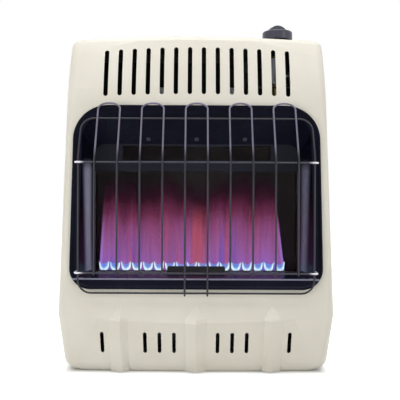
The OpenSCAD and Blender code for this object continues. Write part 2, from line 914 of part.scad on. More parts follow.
module firebox_wrap() {
  outer = box_half + sheet_t;
  front = frame_back + fit;
  color(sooted) difference() {
    union() {
      block([-outer, front, floor_z], [outer, box_back + sheet_t, roof_z]);
      block([-box_half - box_flange, front, floor_z], [box_half + box_flange, front + sheet_t, roof_z]);
    }
    block([-box_half, 0, 0], [box_half, box_back, case_h]);
  }
}

module firebox_floor() {
  outer = box_half + sheet_t;
  low = floor_z - sheet_t;
  color(sooted) difference() {
    block([-outer, frame_back + fit, low], [outer, box_back + sheet_t, floor_z - fit]);
    block(
      [burner_x - crest_l / 2 - crest_gap, burner_y - crest_w / 2 - crest_gap, 0],
      [burner_x + crest_l / 2 + crest_gap, burner_y + crest_w / 2 + crest_gap, case_h]
    );
    block([-pilot_plate_w / 2, pilot_y - pilot_way, 0], [pilot_plate_w / 2, pilot_y + pilot_way, case_h]);
  }
}

module firebox_roof() {
  outer = box_half + sheet_t;
  color(sooted) difference() {
    block([-outer, frame_back + fit, roof_z + fit], [outer, box_back + sheet_t, roof_z + sheet_t]);
    block(
      [-deflector_w / 2 + roof_rim, box_back - roof_rim - roof_slot, 0],
      [deflector_w / 2 - roof_rim, box_back - roof_rim, case_h]
    );
  }
}

// Z-shaped stays between the firebox and the rear panel
module rear_stays() {
  near = box_back + sheet_t + fit;
  far = panel_y - fit;
  top = stay_low + stay_h;
  color(zinc) difference() {
    for (side = [0, 1]) mirror([side, 0, 0]) {
      block([stay_x - stay_w / 2, near, stay_low], [stay_x + sheet_t, near + sheet_t, top]);
      block([stay_x, near, stay_low], [stay_x + sheet_t, far, top]);
      block([stay_x, far - sheet_t, stay_low], [stay_x + stay_w / 2, far, top]);
    }
    at_stay_screws() along_y(0, box_back, case_d, 0, screw_r + fit);
  }
}

// Sloped sheet over the firebox that turns the warm air towards the louvres
module top_deflector() {
  y0 = window_y + deflector_set;
  low = roof_z + sheet_t + fit;
  z0 = low + deflector_low;
  z1 = z0 + deflector_rise;
  color(zinc) {
    translate([-deflector_w / 2, 0, 0]) rotate([90, 0, 90]) linear_extrude(deflector_w)
      polygon([[y0, z0], [box_back, z1], [box_back, z1 + sheet_t], [y0, z0 + sheet_t]]);
    for (x = [-deflector_w / 2, deflector_w / 2 - sheet_t]) {
      translate([x, 0, 0]) rotate([90, 0, 90]) linear_extrude(sheet_t)
        polygon([[y0, low], [box_back, low], [box_back, z1], [y0, z0]]);
    }
  }
}

module burner_tube() {
  x0 = burner_x - burner_l / 2;
  x1 = burner_x + burner_l / 2;
  port_span = crest_l - 2 * port_edge;
  color(zinc) difference() {
    union() {
      along_x(x0, x1, burner_y, burner_z, burner_d / 2);
      block(
        [burner_x - crest_l / 2, burner_y - crest_w / 2, burner_z],
        [burner_x + crest_l / 2, burner_y + crest_w / 2, crest_top]
      );
    }
    along_x(x0 - cut, x1 + cut, burner_y, burner_z, burner_d / 2 - burner_wall);
    block(
      [burner_x - crest_l / 2 + burner_wall, burner_y - crest_w / 2 + burner_wall, burner_z],
      [burner_x + crest_l / 2 - burner_wall, burner_y + crest_w / 2 - burner_wall, crest_top - burner_wall]
    );
    for (i = [0 : ports - 1]) {
      x = burner_x + port_span * ((i + 0.5) / ports - 0.5);
      block(
        [x - port_w / 2, burner_y - port_l / 2, burner_z],
        [x + port_w / 2, burner_y + port_l / 2, case_h]
      );
    }
  }
}

module burner_end_cap() {
  x0 = burner_x - burner_l / 2;
  color(zinc) difference() {
    along_x(x0 - fit - burner_wall, x0 + cap_lap, burner_y, burner_z, burner_d / 2 + fit + burner_wall);
    along_x(x0 - fit, x0 + cap_lap + cut, burner_y, burner_z, burner_d / 2 + fit);
  }
}

// Two plates that hang the burner under the firebox
module burner_brackets() {
  top = floor_z - sheet_t - fit;
  color(zinc) for (side = [-1, 1]) difference() {
    x = burner_x + side * saddle_x;
    union() {
      block(
        [x, burner_y - saddle_w / 2, burner_z - saddle_w / 2],
        [x + sheet_t, burner_y + saddle_w / 2, top]
      );
      block([x, burner_y - saddle_w / 2, top - sheet_t], [x + saddle_foot, burner_y + saddle_w / 2, top]);
    }
    along_x(x - cut, x + saddle_foot + cut, burner_y, burner_z, burner_d / 2 + fit);
    block(
      [x - cut, burner_y - crest_w / 2 - seat, burner_z],
      [x + saddle_foot + cut, burner_y + crest_w / 2 + seat, case_h]
    );
  }
}

// Mixing tube that draws air in beside the gas jet
module venturi() {
  wall = burner_wall;
  outer = burner_d / 2;
  color(alloy) translate([venturi_x + fit, burner_y, burner_z]) rotate([0, 90, 0]) rotate_extrude()
    polygon([
      [throat_r, 0], [outer, 0], [outer, wall], [throat_r + wall, wall],
      [throat_r + wall, venturi_l / 2], [bell_r, venturi_l], [bell_r - wall, venturi_l],
      [throat_r, venturi_l / 2]
    ]);
}

module injector() {
  x0 = injector_x;
  x1 = injector_x + injector_l;
  color(brass) difference() {
    union() {
      along_x(x0, x1, burner_y, burner_z, injector_r);
      along_x(x0 - spud_l, x0 + injector_l / 2, burner_y, burner_z, spud_r);
      along_y(feed_x, burner_y, burner_y + injector_l, burner_z, elbow_r);
    }
    along_x(x0 - spud_l - cut, x0 + injector_l / 2, burner_y, burner_z, spud_bore_r);
    along_y(feed_x, burner_y, burner_y + cut, burner_z, elbow_bore_r);
  }
}

module injector_bracket() {
  x1 = injector_x - fit;
  top = floor_z - sheet_t - fit;
  color(zinc) difference() {
    union() {
      block(
        [x1 - sheet_t, burner_y - stand_w / 2, burner_z - stand_w / 2],
        [x1, burner_y + stand_w / 2, top]
      );
      block(
        [box_half - stand_foot, burner_y - stand_w / 2, top - sheet_t],
        [x1, burner_y + stand_w / 2, top]
      );
    }
    along_x(x1 - cut, x1 + cut, burner_y, burner_z, spud_r + fit);
  }
}

// Plate under the firebox floor that carries the pilot, its thermocouple and its electrode
module pilot_bracket() {
  half = pilot_plate_w / 2;
  top = floor_z - sheet_t - fit;
  y0 = pilot_y - pilot_plate_d / 2;
  y1 = pilot_y + pilot_plate_d / 2;
  color(zinc) difference() {
    union() {
      block([-half - sheet_t, y0, pilot_plate_z], [half + sheet_t, y1, pilot_plate_z + sheet_t]);
      for (side = [0, 1]) mirror([side, 0, 0]) {
        block([half, y0, pilot_plate_z], [half + sheet_t, y1, top]);
        block([half, y0, top - sheet_t], [half + pilot_lug, y1, top]);
      }
    }
    translate([0, pilot_y, 0]) cylinder(r = pilot_bore_r + sheet_t + fit, h = case_h);
    translate([pilot_gap, pilot_y, 0]) cylinder(r = couple_r + fit, h = case_h);
    translate([-pilot_gap, pilot_y, 0]) cylinder(r = electrode_r + fit, h = case_h);
  }
}

module pilot_burner() {
  low = pilot_plate_z + sheet_t + fit;
  color(alloy) translate([0, pilot_y, 0]) difference() {
    union() {
      translate([0, 0, low]) cylinder(r = pilot_r, h = pilot_top - low);
      translate([0, 0, pilot_foot]) cylinder(r = pilot_bore_r + sheet_t, h = pilot_top - pilot_foot);
    }
    translate([0, 0, pilot_foot - cut]) cylinder(r = pilot_bore_r - sheet_t, h = case_h);
    translate([0, 0, low + pilot_r]) cylinder(r = pilot_bore_r, h = case_h);
    along_y(0, -pilot_r - cut, cut, pilot_top - pilot_r, pilot_bore_r - sheet_t);
  }
}

module thermocouple() {
  low = pilot_plate_z + sheet_t + fit;
  color(alloy) translate([pilot_gap, pilot_y, 0]) {
    translate([0, 0, pilot_foot]) cylinder(r = couple_r, h = pilot_top - 2 * couple_r - pilot_foot);
    translate([0, 0, low]) cylinder(r = couple_r + sheet_t, h = 2 * sheet_t);
    translate([0, 0, pilot_top - 2 * couple_r]) cylinder(r1 = couple_r, r2 = couple_r / 2, h = couple_r);
  }
}

module spark_electrode() {
  low = pilot_plate_z + sheet_t + fit;
  tip = pilot_top - 2 * electrode_r;
  color(ceramic) translate([-pilot_gap, pilot_y, 0]) {
    translate([0, 0, pilot_foot]) cylinder(r = electrode_r, h = tip - pilot_foot);
    translate([0, 0, low]) cylinder(r = electrode_r + sheet_t, h = 2 * sheet_t);
    translate([0, 0, tip]) cylinder(r = electrode_tip_r, h = electrode_r);
    rod(
      [0, 0, tip + electrode_r - electrode_tip_r],
      [electrode_r, 0, tip + electrode_r - electrode_tip_r], electrode_tip_r
    );
  }
}

module valve_body() {
  low = valve_top - valve_h;
  color(alloy) difference() {
    union() {
      translate([knob_x, valve_y, low]) cylinder(r = valve_r, h = valve_h);
      along_y(knob_x, valve_y, valve_y + valve_r + boss_l, supply_top, port_boss_r);
      along_x(knob_x, knob_x + valve_r + boss_l, valve_y, feed_top, port_boss_r);
      along_y(knob_x, valve_y - valve_r - boss_l, valve_y, pilot_pipe_top, port_boss_r);
    }
    translate([knob_x, valve_y, plug_low - fit]) cylinder(r = plug_r + fit, h = valve_h);
    translate([knob_x, valve_y, low - cut]) cylinder(r = stem_r, h = valve_h);
    along_y(knob_x, valve_y, valve_y + valve_r + boss_l + cut, supply_top, supply_d / 2 - pipe_wall);
    along_x(knob_x, knob_x + valve_r + boss_l + cut, valve_y, feed_top, feed_d / 2 - pipe_wall);
    along_y(knob_x, valve_y - valve_r - boss_l - cut, valve_y, pilot_pipe_top, pilot_d / 2 - pipe_wall);
  }
}

module valve_bonnet() {
  color(brass) translate([knob_x, valve_y, valve_top + fit]) difference() {
    cylinder(r = bonnet_r, h = bonnet_t);
    translate([0, 0, -cut]) cylinder(r = stem_r + fit, h = bonnet_t + 2 * cut);
  }
}

// A round with one flat side
module flatted(r, flat, h) {
  difference() {
    cylinder(r = r, h = h);
    block([r - flat, -r, -cut], [2 * r, r, h + cut]);
  }
}

module valve_plug() {
  color(brass) translate([knob_x, valve_y, plug_low]) difference() {
    cylinder(r = plug_r, h = plug_h);
    translate([0, 0, -cut / 2]) flatted(stem_r + fit, stem_flat, plug_h + cut);
    along_y(0, -cut, cut, plug_h / 2, port_hole_r);
  }
}

module valve_stem() {
  foot = plug_low + knob_travel + 2 * fit;
  color(alloy) translate([knob_x, valve_y, 0]) {
    translate([0, 0, foot]) flatted(stem_r, stem_flat, stem_top - foot);
    translate([0, 0, valve_top - collar_t]) cylinder(r = collar_r, h = collar_t);
  }
}

// Spring between the plug and the stem's collar, one unbroken turn of wire after another
module stem_spring() {
  low = plug_low + plug_h + fit + spring_wire_r;
  high = valve_top - collar_t - fit - spring_wire_r;
  steps = spring_turns * spring_steps;
  color(alloy) translate([knob_x, valve_y, 0]) polyhedron(
    points = [for (i = [0 : steps]) for (j = [0 : spring_sides - 1]) let (
      turn = 360 * i / spring_steps,
      side = 360 * j / spring_sides,
      r = spring_r + spring_wire_r * cos(side)
    ) [r * cos(turn), r * sin(turn), low + (high - low) * i / steps + spring_wire_r * sin(side)]],
    faces = concat(
      [for (i = [0 : steps - 1]) for (j = [0 : spring_sides - 1]) let (
        a = i * spring_sides + j,
        b = i * spring_sides + (j + 1) % spring_sides
      ) each [[a, b, a + spring_sides], [b, b + spring_sides, a + spring_sides]]],
      [
        [for (j = [spring_sides - 1 : -1 : 0]) j],
        [for (j = [0 : spring_sides - 1]) steps * spring_sides + j]
      ]
    )
  );
}

module magnet_unit() {
  low = valve_top - valve_h - fit - magnet_l;
  color(brass) translate([knob_x, valve_y, low]) difference() {
    cylinder(r = magnet_r, h = magnet_l);
    translate([0, 0, magnet_l - stem_r]) cylinder(r = stem_r, h = cut);
  }
}

module control_knob() {
  r = knob_d / 2;
  top = knob_low + skirt_h;
  arch_r = (pow(grip_w / 2, 2) + pow(grip_h, 2)) / (2 * grip_h);
  color(knob_grey) translate([knob_x, valve_y, 0]) difference() {
    union() {
      translate([0, 0, knob_low]) cylinder(r = r, h = skirt_h - knob_edge);
      translate([0, 0, knob_low]) cylinder(r = r - knob_edge, h = skirt_h);
      translate([0, 0, top - knob_edge]) rotate_extrude() translate([r - knob_edge, 0]) intersection() {
        circle(knob_edge);
        square(knob_edge);
      }
      rotate([0, 0, grip_turn]) intersection() {
        block([-grip_w / 2, -grip_t / 2, top - knob_edge], [grip_w / 2, grip_t / 2, top + grip_h]);
        along_y(0, -grip_t, grip_t, top + grip_h - arch_r, arch_r);
      }
    }
    difference() {
      translate([0, 0, knob_low - cut]) cylinder(r = r - knob_wall, h = cut + skirt_h - knob_wall);
      translate([0, 0, knob_low - cut]) cylinder(r = hub_r, h = case_h);
    }
    translate([0, 0, knob_low - cut]) flatted(stem_r + fit, stem_flat, stem_top + fit - knob_low + cut);
  }
}

// Shelf on the rear panel that carries the valve
module valve_bracket() {
  half = shelf_w / 2;
  far = panel_y - fit;
  color(zinc) difference() {
    union() {
      block([shelf_x - half, valve_y - valve_r, shelf_z], [shelf_x + half, far, shelf_z + sheet_t]);
      block(
        [shelf_x - half, far - sheet_t, shelf_z - shelf_drop],
        [shelf_x + half, far, shelf_z + sheet_t]
      );
    }
    translate([knob_x, valve_y, 0]) cylinder(r = bonnet_r + seat, h = case_h + cut);
    translate([button_x, igniter_y, 0]) cylinder(r = igniter_r + seat, h = case_h + cut);
    at_shelf_screws() along_y(0, box_back, case_d, 0, screw_r + fit);
  }
}

module igniter_body() {
  color(black) translate([button_x, igniter_y, igniter_top]) difference() {
    union() {
      translate([0, 0, -igniter_flange_t]) cylinder(r = igniter_flange_r, h = igniter_flange_t);
      translate([0, 0, -igniter_l]) cylinder(r = igniter_r, h = igniter_l);
    }
    translate([0, 0, -button_in - button_travel - fit]) cylinder(r = button_d / 2 + fit, h = igniter_l);
  }
}

module igniter_nut() {
  nut_r = igniter_flange_r;
  top = top_at(button_x + nut_r) - cover_t - seat;
  color(zinc) translate([button_x, igniter_y, top - igniter_nut_h]) difference() {
    cylinder(r = nut_r, h = igniter_nut_h, $fn = 6);
    translate([0, 0, -cut]) cylinder(r = igniter_r + fit, h = igniter_nut_h + 2 * cut);
  }
}

module igniter_button() {
  color(black) translate([button_x, igniter_y, igniter_top - button_in])
    cylinder(r = button_d / 2, h = button_in + button_proud);
}

module ignition_lead() {
  start = igniter_top - igniter_l - fit;
  color(black) route([
    [button_x, igniter_y, start], [button_x, igniter_y, lead_top], [button_x, lead_side_y, lead_top],
    [lead_x, lead_side_y, lead_top], [lead_x, pilot_y, lead_top], [lead_x, pilot_y, lead_low],
    [-pilot_gap, pilot_y, lead_low], [-pilot_gap, pilot_y, pilot_foot - fit]
  ], lead_r, thin_bend);
}

module regulator_body() {
  color(alloy) difference() {
    union() {
      along_y(reg_x, supply_y - reg_t / 2, supply_y + reg_t / 2, reg_z, reg_r);
      translate([reg_x, supply_y, reg_z]) cylinder(r = port_boss_r, h = reg_r + boss_l);
      translate([reg_x, supply_y, inlet_top + fit]) cylinder(r = port_boss_r, h = reg_r);
      translate([reg_x, supply_y, inlet_low + inlet_l + sheet_t]) cylinder(r = nipple_r, h = inlet_top - inlet_low);
    }
    translate([reg_x, supply_y, reg_z]) cylinder(r = supply_d / 2 - pipe_wall, h = case_h);
    translate([reg_x, supply_y, 0]) cylinder(r = supply_d / 2 - pipe_wall, h = reg_z);
  }
}

module regulator_cap() {
  front = supply_y - reg_t / 2 - fit;
  color(black) along_y(reg_x, front - reg_cap_t, front, reg_z, reg_cap_r);
}

// Bracket between the regulator and the rear panel
module regulator_bracket() {
  near = supply_y + reg_t / 2 + fit;
  far = panel_y - fit;
  x0 = reg_x - reg_r / 2;
  x1 = reg_x + reg_r / 2;
  color(zinc) {
    block([x0, near, reg_z - reg_r / 2], [x1, near + sheet_t, reg_z + reg_r]);
    block([x0, near, reg_z + reg_r - sheet_t], [x1, far, reg_z + reg_r]);
    block([x0, far - sheet_t, bumper_z + bumper_r], [x1, far, reg_z + reg_r]);
  }
}

module inlet_fitting() {
  color(brass) translate([reg_x, supply_y, 0]) difference() {
    union() {
      translate([0, 0, inlet_low]) cylinder(r = inlet_r, h = inlet_top - inlet_low);
      translate([0, 0, inlet_low + inlet_l / 2]) cylinder(r = inlet_r + sheet_t, h = inlet_l / 2, $fn = 6);
    }
    translate([0, 0, inlet_low - cut]) cylinder(r = inlet_hole_d / 2, h = inlet_l + 2 * cut);
    translate([0, 0, inlet_low + inlet_l]) cylinder(r = nipple_r + fit, h = inlet_top - inlet_low);
  }
}

module supply_pipe() {
  color(alloy) route([
    [knob_x, valve_y + valve_r + boss_l + fit, supply_top], [knob_x, supply_y, supply_top],
    [supply_x, supply_y, supply_top], [supply_x, supply_y, supply_low], [reg_x, supply_y, supply_low],
    [reg_x, supply_y, reg_z + reg_r + boss_l + fit]
  ], supply_d / 2, bend);
}

module burner_pipe() {
  color(alloy) route([
    [knob_x + valve_r + boss_l + fit, valve_y, feed_top], [feed_x, valve_y, feed_top],
    [feed_x, feed_y, feed_top], [feed_x, feed_y, burner_z],
    [feed_x, burner_y + injector_l + fit, burner_z]
  ], feed_d / 2, bend);
}

module pilot_pipe() {
  color(alloy) route([
    [knob_x, valve_y - valve_r - boss_l - fit, pilot_pipe_top], [knob_x, side_y, pilot_pipe_top],
    [pilot_x, side_y, pilot_pipe_top], [pilot_x, pilot_y, pilot_pipe_top],
    [pilot_x, pilot_y, pilot_low], [0, pilot_y, pilot_low], [0, pilot_y, pilot_foot - fit]
  ], pilot_d / 2, thin_bend);
}

module thermocouple_lead() {
  color(copper) route([
    [knob_x, valve_y, valve_top - valve_h - magnet_l - 2 * fit], [knob_x, valve_y, couple_top],
    [couple_x, valve_y, couple_top], [couple_x, pilot_y, couple_top], [couple_x, pilot_y, couple_low],
    [pilot_gap, pilot_y, couple_low], [pilot_gap, pilot_y, pilot_foot - fit]
  ], couple_lead_r, thin_bend);
}

// A hexagon nut round a pipe, along +Z
module pipe_nut(d, l) {
  difference() {
    cylinder(r = d / 2 + nut_wall, h = l, $fn = 6);
    translate([0, 0, -cut]) cylinder(r = d / 2 + fit, h = l + 2 * cut);
  }
}

module pipe_nuts() {
  valve_reach = valve_r + boss_l + fit;
  color(brass) {
    translate([knob_x, valve_y + valve_reach, supply_top]) rotate([-90, 0, 0]) pipe_nut(supply_d, nut_l);
    translate([knob_x + valve_reach, valve_y, feed_top]) rotate([0, 90, 0]) pipe_nut(feed_d, nut_l);
    translate([knob_x, valve_y - valve_reach, pilot_pipe_top]) rotate([90, 0, 0]) pipe_nut(pilot_d, nut_l);
    translate([reg_x, supply_y, reg_z + reg_r + boss_l + fit]) pipe_nut(supply_d, nut_short);
    translate([feed_x, burner_y + injector_l + fit, burner_z]) rotate([-90, 0, 0]) pipe_nut(feed_d, nut_l);
    translate([0, pilot_y, pilot_foot - fit]) mirror([0, 0, 1]) pipe_nut(pilot_d, nut_l);
  }
}

// Points round the bend at b, on the way from a to c
function bend_points(a, b, c, turn_r) = let (
  back = unit(a - b),
  ahead = unit(c - b),
  angle = acos(back * ahead),
  centre = b + unit(back + ahead) * turn_r / sin(angle / 2),
  axis_x = unit(b + back * turn_r / tan(angle / 2) - centre),
  axis_y = cross(unit(cross(ahead, back)), axis_x),
  steps = ceil((180 - angle) / wire_step)
) [for (i = [0 : steps]) let (turn = (180 - angle) * i / steps)
  centre + turn_r * (axis_x * cos(turn) + axis_y * sin(turn))];

function smooth(p, turn_r) = concat(
  [p[0]],
  [for (i = [1 : len(p) - 2]) each bend_points(p[i - 1], p[i], p[i + 1], turn_r)],
  [p[len(p) - 1]]
);

function across_to(u, t) = unit(u - t * (u * t));

// A wire of wire_sides sides swept along p, which is one unbroken line or a ring
module swept(p, r, ring = false) {
  n = len(p);
  rings = ring ? n : n - 1;
  way = [for (i = [0 : n - 1]) unit(
    p[i < n - 1 ? i + 1 : (ring ? 0 : i)] - p[i > 0 ? i - 1 : (ring ? n - 1 : 0)]
  )];
  sides = [for (
    i = 0, u = across_to([1, 1, 0], way[0]);
    i < n;
    i = i + 1, u = i < n ? across_to(u, way[i]) : u
  ) u];
  polyhedron(
    points = [for (i = [0 : n - 1]) for (j = [0 : wire_sides - 1]) let (turn = 360 * j / wire_sides)
      p[i] + r * (sides[i] * cos(turn) + cross(way[i], sides[i]) * sin(turn))],
    faces = concat(
      [for (i = [0 : rings - 1]) for (j = [0 : wire_sides - 1]) let (
        a = i * wire_sides + j,
        b = i * wire_sides + (j + 1) % wire_sides,
        c = (i + 1) % n * wire_sides + j,
        d = (i + 1) % n * wire_sides + (j + 1) % wire_sides
      ) each [[a, c, b], [b, c, d]]],
      ring ? [] : [
        [for (j = [0 : wire_sides - 1]) j],
        [for (j = [wire_sides - 1 : -1 : 0]) (n - 1) * wire_sides + j]
      ]
    )
  );
}

// Guard wires: the hairpins stand in front of the crossbars, and the frame runs behind them
function lean_y(y, z, from) = y + max(z - from, 0) * tan(guard_lean);

// One hairpin: its legs end at the lower crossbar, or hook round the foot of the frame
module hairpin(foot) {
  half = wire_pitch / 2;
  low = foot ? guard_foot - wire_gap : bar_low - wire_d;
  side_z = guard_top - wire_r - arch_h;
  left = smooth(concat(
    foot ? [[-half, hook_back, low]] : [],
    [[-half, hoop_y, low], [-half, hoop_y, guard_bend], [-half, lean_y(hoop_y, side_z, guard_bend), side_z]]
  ), guard_r);
  last = len(left) - 1;
  arch = [for (i = [1 : arch_points - 1]) let (
    turn = 180 * i / arch_points,
    z = side_z + arch_h * sin(turn)
  ) [-half * cos(turn), lean_y(hoop_y, z, guard_bend), z]];
  swept(concat(left, arch, [for (i = [last : -1 : 0]) [-left[i][0], left[i][1], left[i][2]]]), wire_r);
}

module guard_hoops() {
  color(wire_grey) for (i = [0 : hairpins - 1]) {
    place = i - (hairpins - 1) / 2;
    translate([place * 2 * wire_pitch, 0, 0]) hairpin(place == 0);
  }
}

module at_bar_ends() {
  for (side = [-1, 1]) for (z = [bar_low, bar_mid]) translate([side * bar_half, 0, z]) children();
}

module guard_crossbars() {
  y = hoop_y + wire_gap;
  color(wire_grey) for (z = [bar_low, bar_mid]) {
    far = face_y(z) + bar_in;
    route([[-bar_half, far, z], [-bar_half, y, z], [bar_half, y, z], [bar_half, far, z]], wire_r, guard_r);
  }
}

module guard_frame() {
  y = hoop_y + 2 * wire_gap;
  from = guard_bend + wire_gap * (2 * cos(guard_lean) - 1) / sin(guard_lean);
  top_y = lean_y(y, bar_top, from);
  corners = [
    [-guard_half, y, guard_foot], [-guard_half, y, from], [-guard_half, top_y, bar_top],
    [guard_half, top_y, bar_top], [guard_half, y, from], [guard_half, y, guard_foot]
  ];
  last = len(corners) - 1;
  color(wire_grey) swept([for (i = [0 : last]) each bend_points(
    corners[i > 0 ? i - 1 : last], corners[i], corners[i < last ? i + 1 : 0], frame_r
  )], wire_r, true);
}

module cover_screws() {
  color(cream) at_cover_screws() translate([0, case_d, 0]) rotate([-90, 0, 0]) screw();
}

module shroud_screws() {
  color(zinc) at_hood_screws() screw();
}

module chassis_screws() {
  color(zinc) at_chassis_screws() translate([0, panel_y + panel_t, 0]) rotate([-90, 0, 0]) screw();
}

placed() front_cover();
placed() back_panel();
placed() base_pan();
placed() wall_bracket();
placed() rear_bumpers();
placed() opening_shroud();
placed() window_frame();
placed() glass_gasket();
placed() window_glass();
placed() glass_clips();
placed() pilot_shield();
placed() outlet_duct();
placed() firebox_wrap();
placed() firebox_floor();
placed() firebox_roof();
placed() rear_stays();
placed() top_deflector();
placed() burner_tube();
placed() burner_end_cap();
placed() burner_brackets();
placed() venturi();
placed() injector();
placed() injector_bracket();
placed() pilot_bracket();
placed() pilot_burner();
placed() thermocouple();
placed() spark_electrode();
placed() valve_body();
placed() valve_bonnet();
placed() valve_plug();
placed() valve_stem();
placed() stem_spring();
placed() magnet_unit();
placed() control_knob();
placed() valve_bracket();
placed() igniter_body();
placed() igniter_nut();
placed() igniter_button();
placed() ignition_lead();
placed() regulator_body();
placed() regulator_cap();
placed() regulator_bracket();
placed() inlet_fitting();
placed() supply_pipe();
placed() burner_pipe();
placed() pilot_pipe();
placed() thermocouple_lead();
placed() pipe_nuts();
placed() guard_hoops();
placed() guard_crossbars();
placed() guard_frame();
placed() cover_screws();
placed() shroud_screws();
placed() chassis_screws();
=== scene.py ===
import math

import bmesh
import bpy
from mathutils import Matrix, Vector


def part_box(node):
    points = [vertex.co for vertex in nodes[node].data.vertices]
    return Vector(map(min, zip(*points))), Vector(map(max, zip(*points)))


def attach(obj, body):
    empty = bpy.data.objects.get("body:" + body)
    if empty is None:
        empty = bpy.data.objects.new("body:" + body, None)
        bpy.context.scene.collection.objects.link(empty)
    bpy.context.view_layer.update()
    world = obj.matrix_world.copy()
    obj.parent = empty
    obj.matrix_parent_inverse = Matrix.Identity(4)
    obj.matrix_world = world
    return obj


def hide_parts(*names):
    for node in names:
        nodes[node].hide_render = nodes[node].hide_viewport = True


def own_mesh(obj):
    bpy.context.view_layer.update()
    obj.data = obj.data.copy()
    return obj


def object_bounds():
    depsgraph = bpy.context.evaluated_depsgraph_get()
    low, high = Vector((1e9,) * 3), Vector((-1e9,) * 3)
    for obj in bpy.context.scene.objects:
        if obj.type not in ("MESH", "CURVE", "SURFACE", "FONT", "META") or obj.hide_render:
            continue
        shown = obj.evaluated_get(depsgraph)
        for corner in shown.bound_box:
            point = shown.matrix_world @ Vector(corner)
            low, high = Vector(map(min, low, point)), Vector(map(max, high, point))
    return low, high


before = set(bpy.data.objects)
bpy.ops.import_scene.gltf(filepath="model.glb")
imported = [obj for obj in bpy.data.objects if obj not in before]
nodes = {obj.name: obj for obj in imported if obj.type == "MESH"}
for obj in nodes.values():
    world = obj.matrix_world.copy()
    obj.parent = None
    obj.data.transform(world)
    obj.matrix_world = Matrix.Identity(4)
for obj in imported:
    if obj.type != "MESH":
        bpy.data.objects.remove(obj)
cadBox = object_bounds()
print("frame loaded:", len(nodes), "pieces")


def tone(red, green, blue):
    # display values from 0 to 255, as the linear colour that a shader wants
    shares = [level / 255 for level in (red, green, blue)]
    linear = [share / 12.92 if share <= 0.04 else ((share + 0.055) / 1.055) ** 2.4 for share in shares]
    return tuple(linear) + (1.0,)


class Link:
    # one output of a node, on which + - * / and ** add Math nodes
    def __init__(self, finish, socket):
        self.finish = finish
        self.socket = socket

    def __add__(self, other):
        return self.finish.maths("ADD", self, other)

    def __sub__(self, other):
        return self.finish.maths("SUBTRACT", self, other)

    def __rsub__(self, other):
        return self.finish.maths("SUBTRACT", other, self)

    def __mul__(self, other):
        return self.finish.maths("MULTIPLY", self, other)

    def __truediv__(self, other):
        return self.finish.maths("DIVIDE", self, other)

    def __pow__(self, other):
        return self.finish.maths("POWER", self, other)

    def __abs__(self):
        return self.finish.maths("ABSOLUTE", self, 0.0)

    __radd__ = __add__
    __rmul__ = __mul__


class Finish:
    # one material and the ways in which its nodes are made
    def __init__(self, name):
        self.material = bpy.data.materials.new(name)
        self.material.use_nodes = True
        self.tree = self.material.node_tree
        self.shader = self.tree.nodes["Principled BSDF"]
        self.place = self.node("ShaderNodeTexCoord", output="Object")

    def node(self, kind, settings=None, sockets=None, output=0):
        made = self.tree.nodes.new(kind)
        for name, value in (settings or {}).items():
            if name == "stops":
                ramp = made.color_ramp
                while len(ramp.elements) < len(value):
                    ramp.elements.new(1.0)
                for element, (position, colour) in zip(ramp.elements, value):
                    element.position = position
                    element.color = colour
            else:
                setattr(made, name, value)
        for name, value in (sockets or {}).items():
            self.feed(made.inputs[name], value)
        return Link(self, made.outputs[output])

    def feed(self, socket, value):
        if isinstance(value, Link):
            self.tree.links.new(value.socket, socket)
        else:
            socket.default_value = value

    def set(self, **values):
        # Base_Color=..., Roughness=... on the shader itself
        for name, value in values.items():
            self.feed(self.shader.inputs[name.replace("_", " ")], value)

    def maths(self, operation, a, b):
        return self.node("ShaderNodeMath", {"operation": operation}, {0: a, 1: b})

    def mix(self, amount, a, b):
        return self.node("ShaderNodeMix", {"data_type": "RGBA"}, {0: amount, 6: a, 7: b}, 2)

    def noise(self, scale, detail=2.0, stretch=(1, 1, 1)):
        stretched = self.node("ShaderNodeMapping", {}, {"Vector": self.place, "Scale": stretch})
        sockets = {"Vector": stretched, "Scale": scale, "Detail": detail}
        return self.node("ShaderNodeTexNoise", {}, sockets, "Fac")

    def waves(self, perMetre, detail):
        return self.noise(1.0, detail, perMetre)

    def crystals(self, scale):
        # one random number for each crystal of a zinc coat
        cells = self.node("ShaderNodeTexVoronoi", {}, {"Vector": self.place, "Scale": scale}, "Color")
        return self.node("ShaderNodeSeparateColor", {}, {"Color": cells}, "Red")

    def between(self, value, low, high, toLow=0.0, toHigh=1.0):
        # a smooth step from toLow at low to toHigh at high
        return self.node("ShaderNodeMapRange", {"interpolation_type": "SMOOTHSTEP"}, {
            "Value": value, "From Min": low, "From Max": high, "To Min": toLow, "To Max": toHigh})

    def twoTones(self, value, look):
        return self.mix(self.between(value, 0.3, 0.7), look["tone"], look["otherTone"])

    def axis(self, name):
        return self.node("ShaderNodeSeparateXYZ", {}, {"Vector": self.place}, name)

    def ramp(self, value, stops):
        return self.node("ShaderNodeValToRGB", {"stops": stops}, {"Fac": value}, "Color")

    def bump(self, height, strength, distance):
        return self.node("ShaderNodeBump", {}, {"Strength": strength, "Distance": distance, "Height": height})


finishes = {}  # one for each slot of the record, and a few of its own
fineRelief = 0.0002  # depth of a Bump node, in metres
coarseRelief = 0.0003


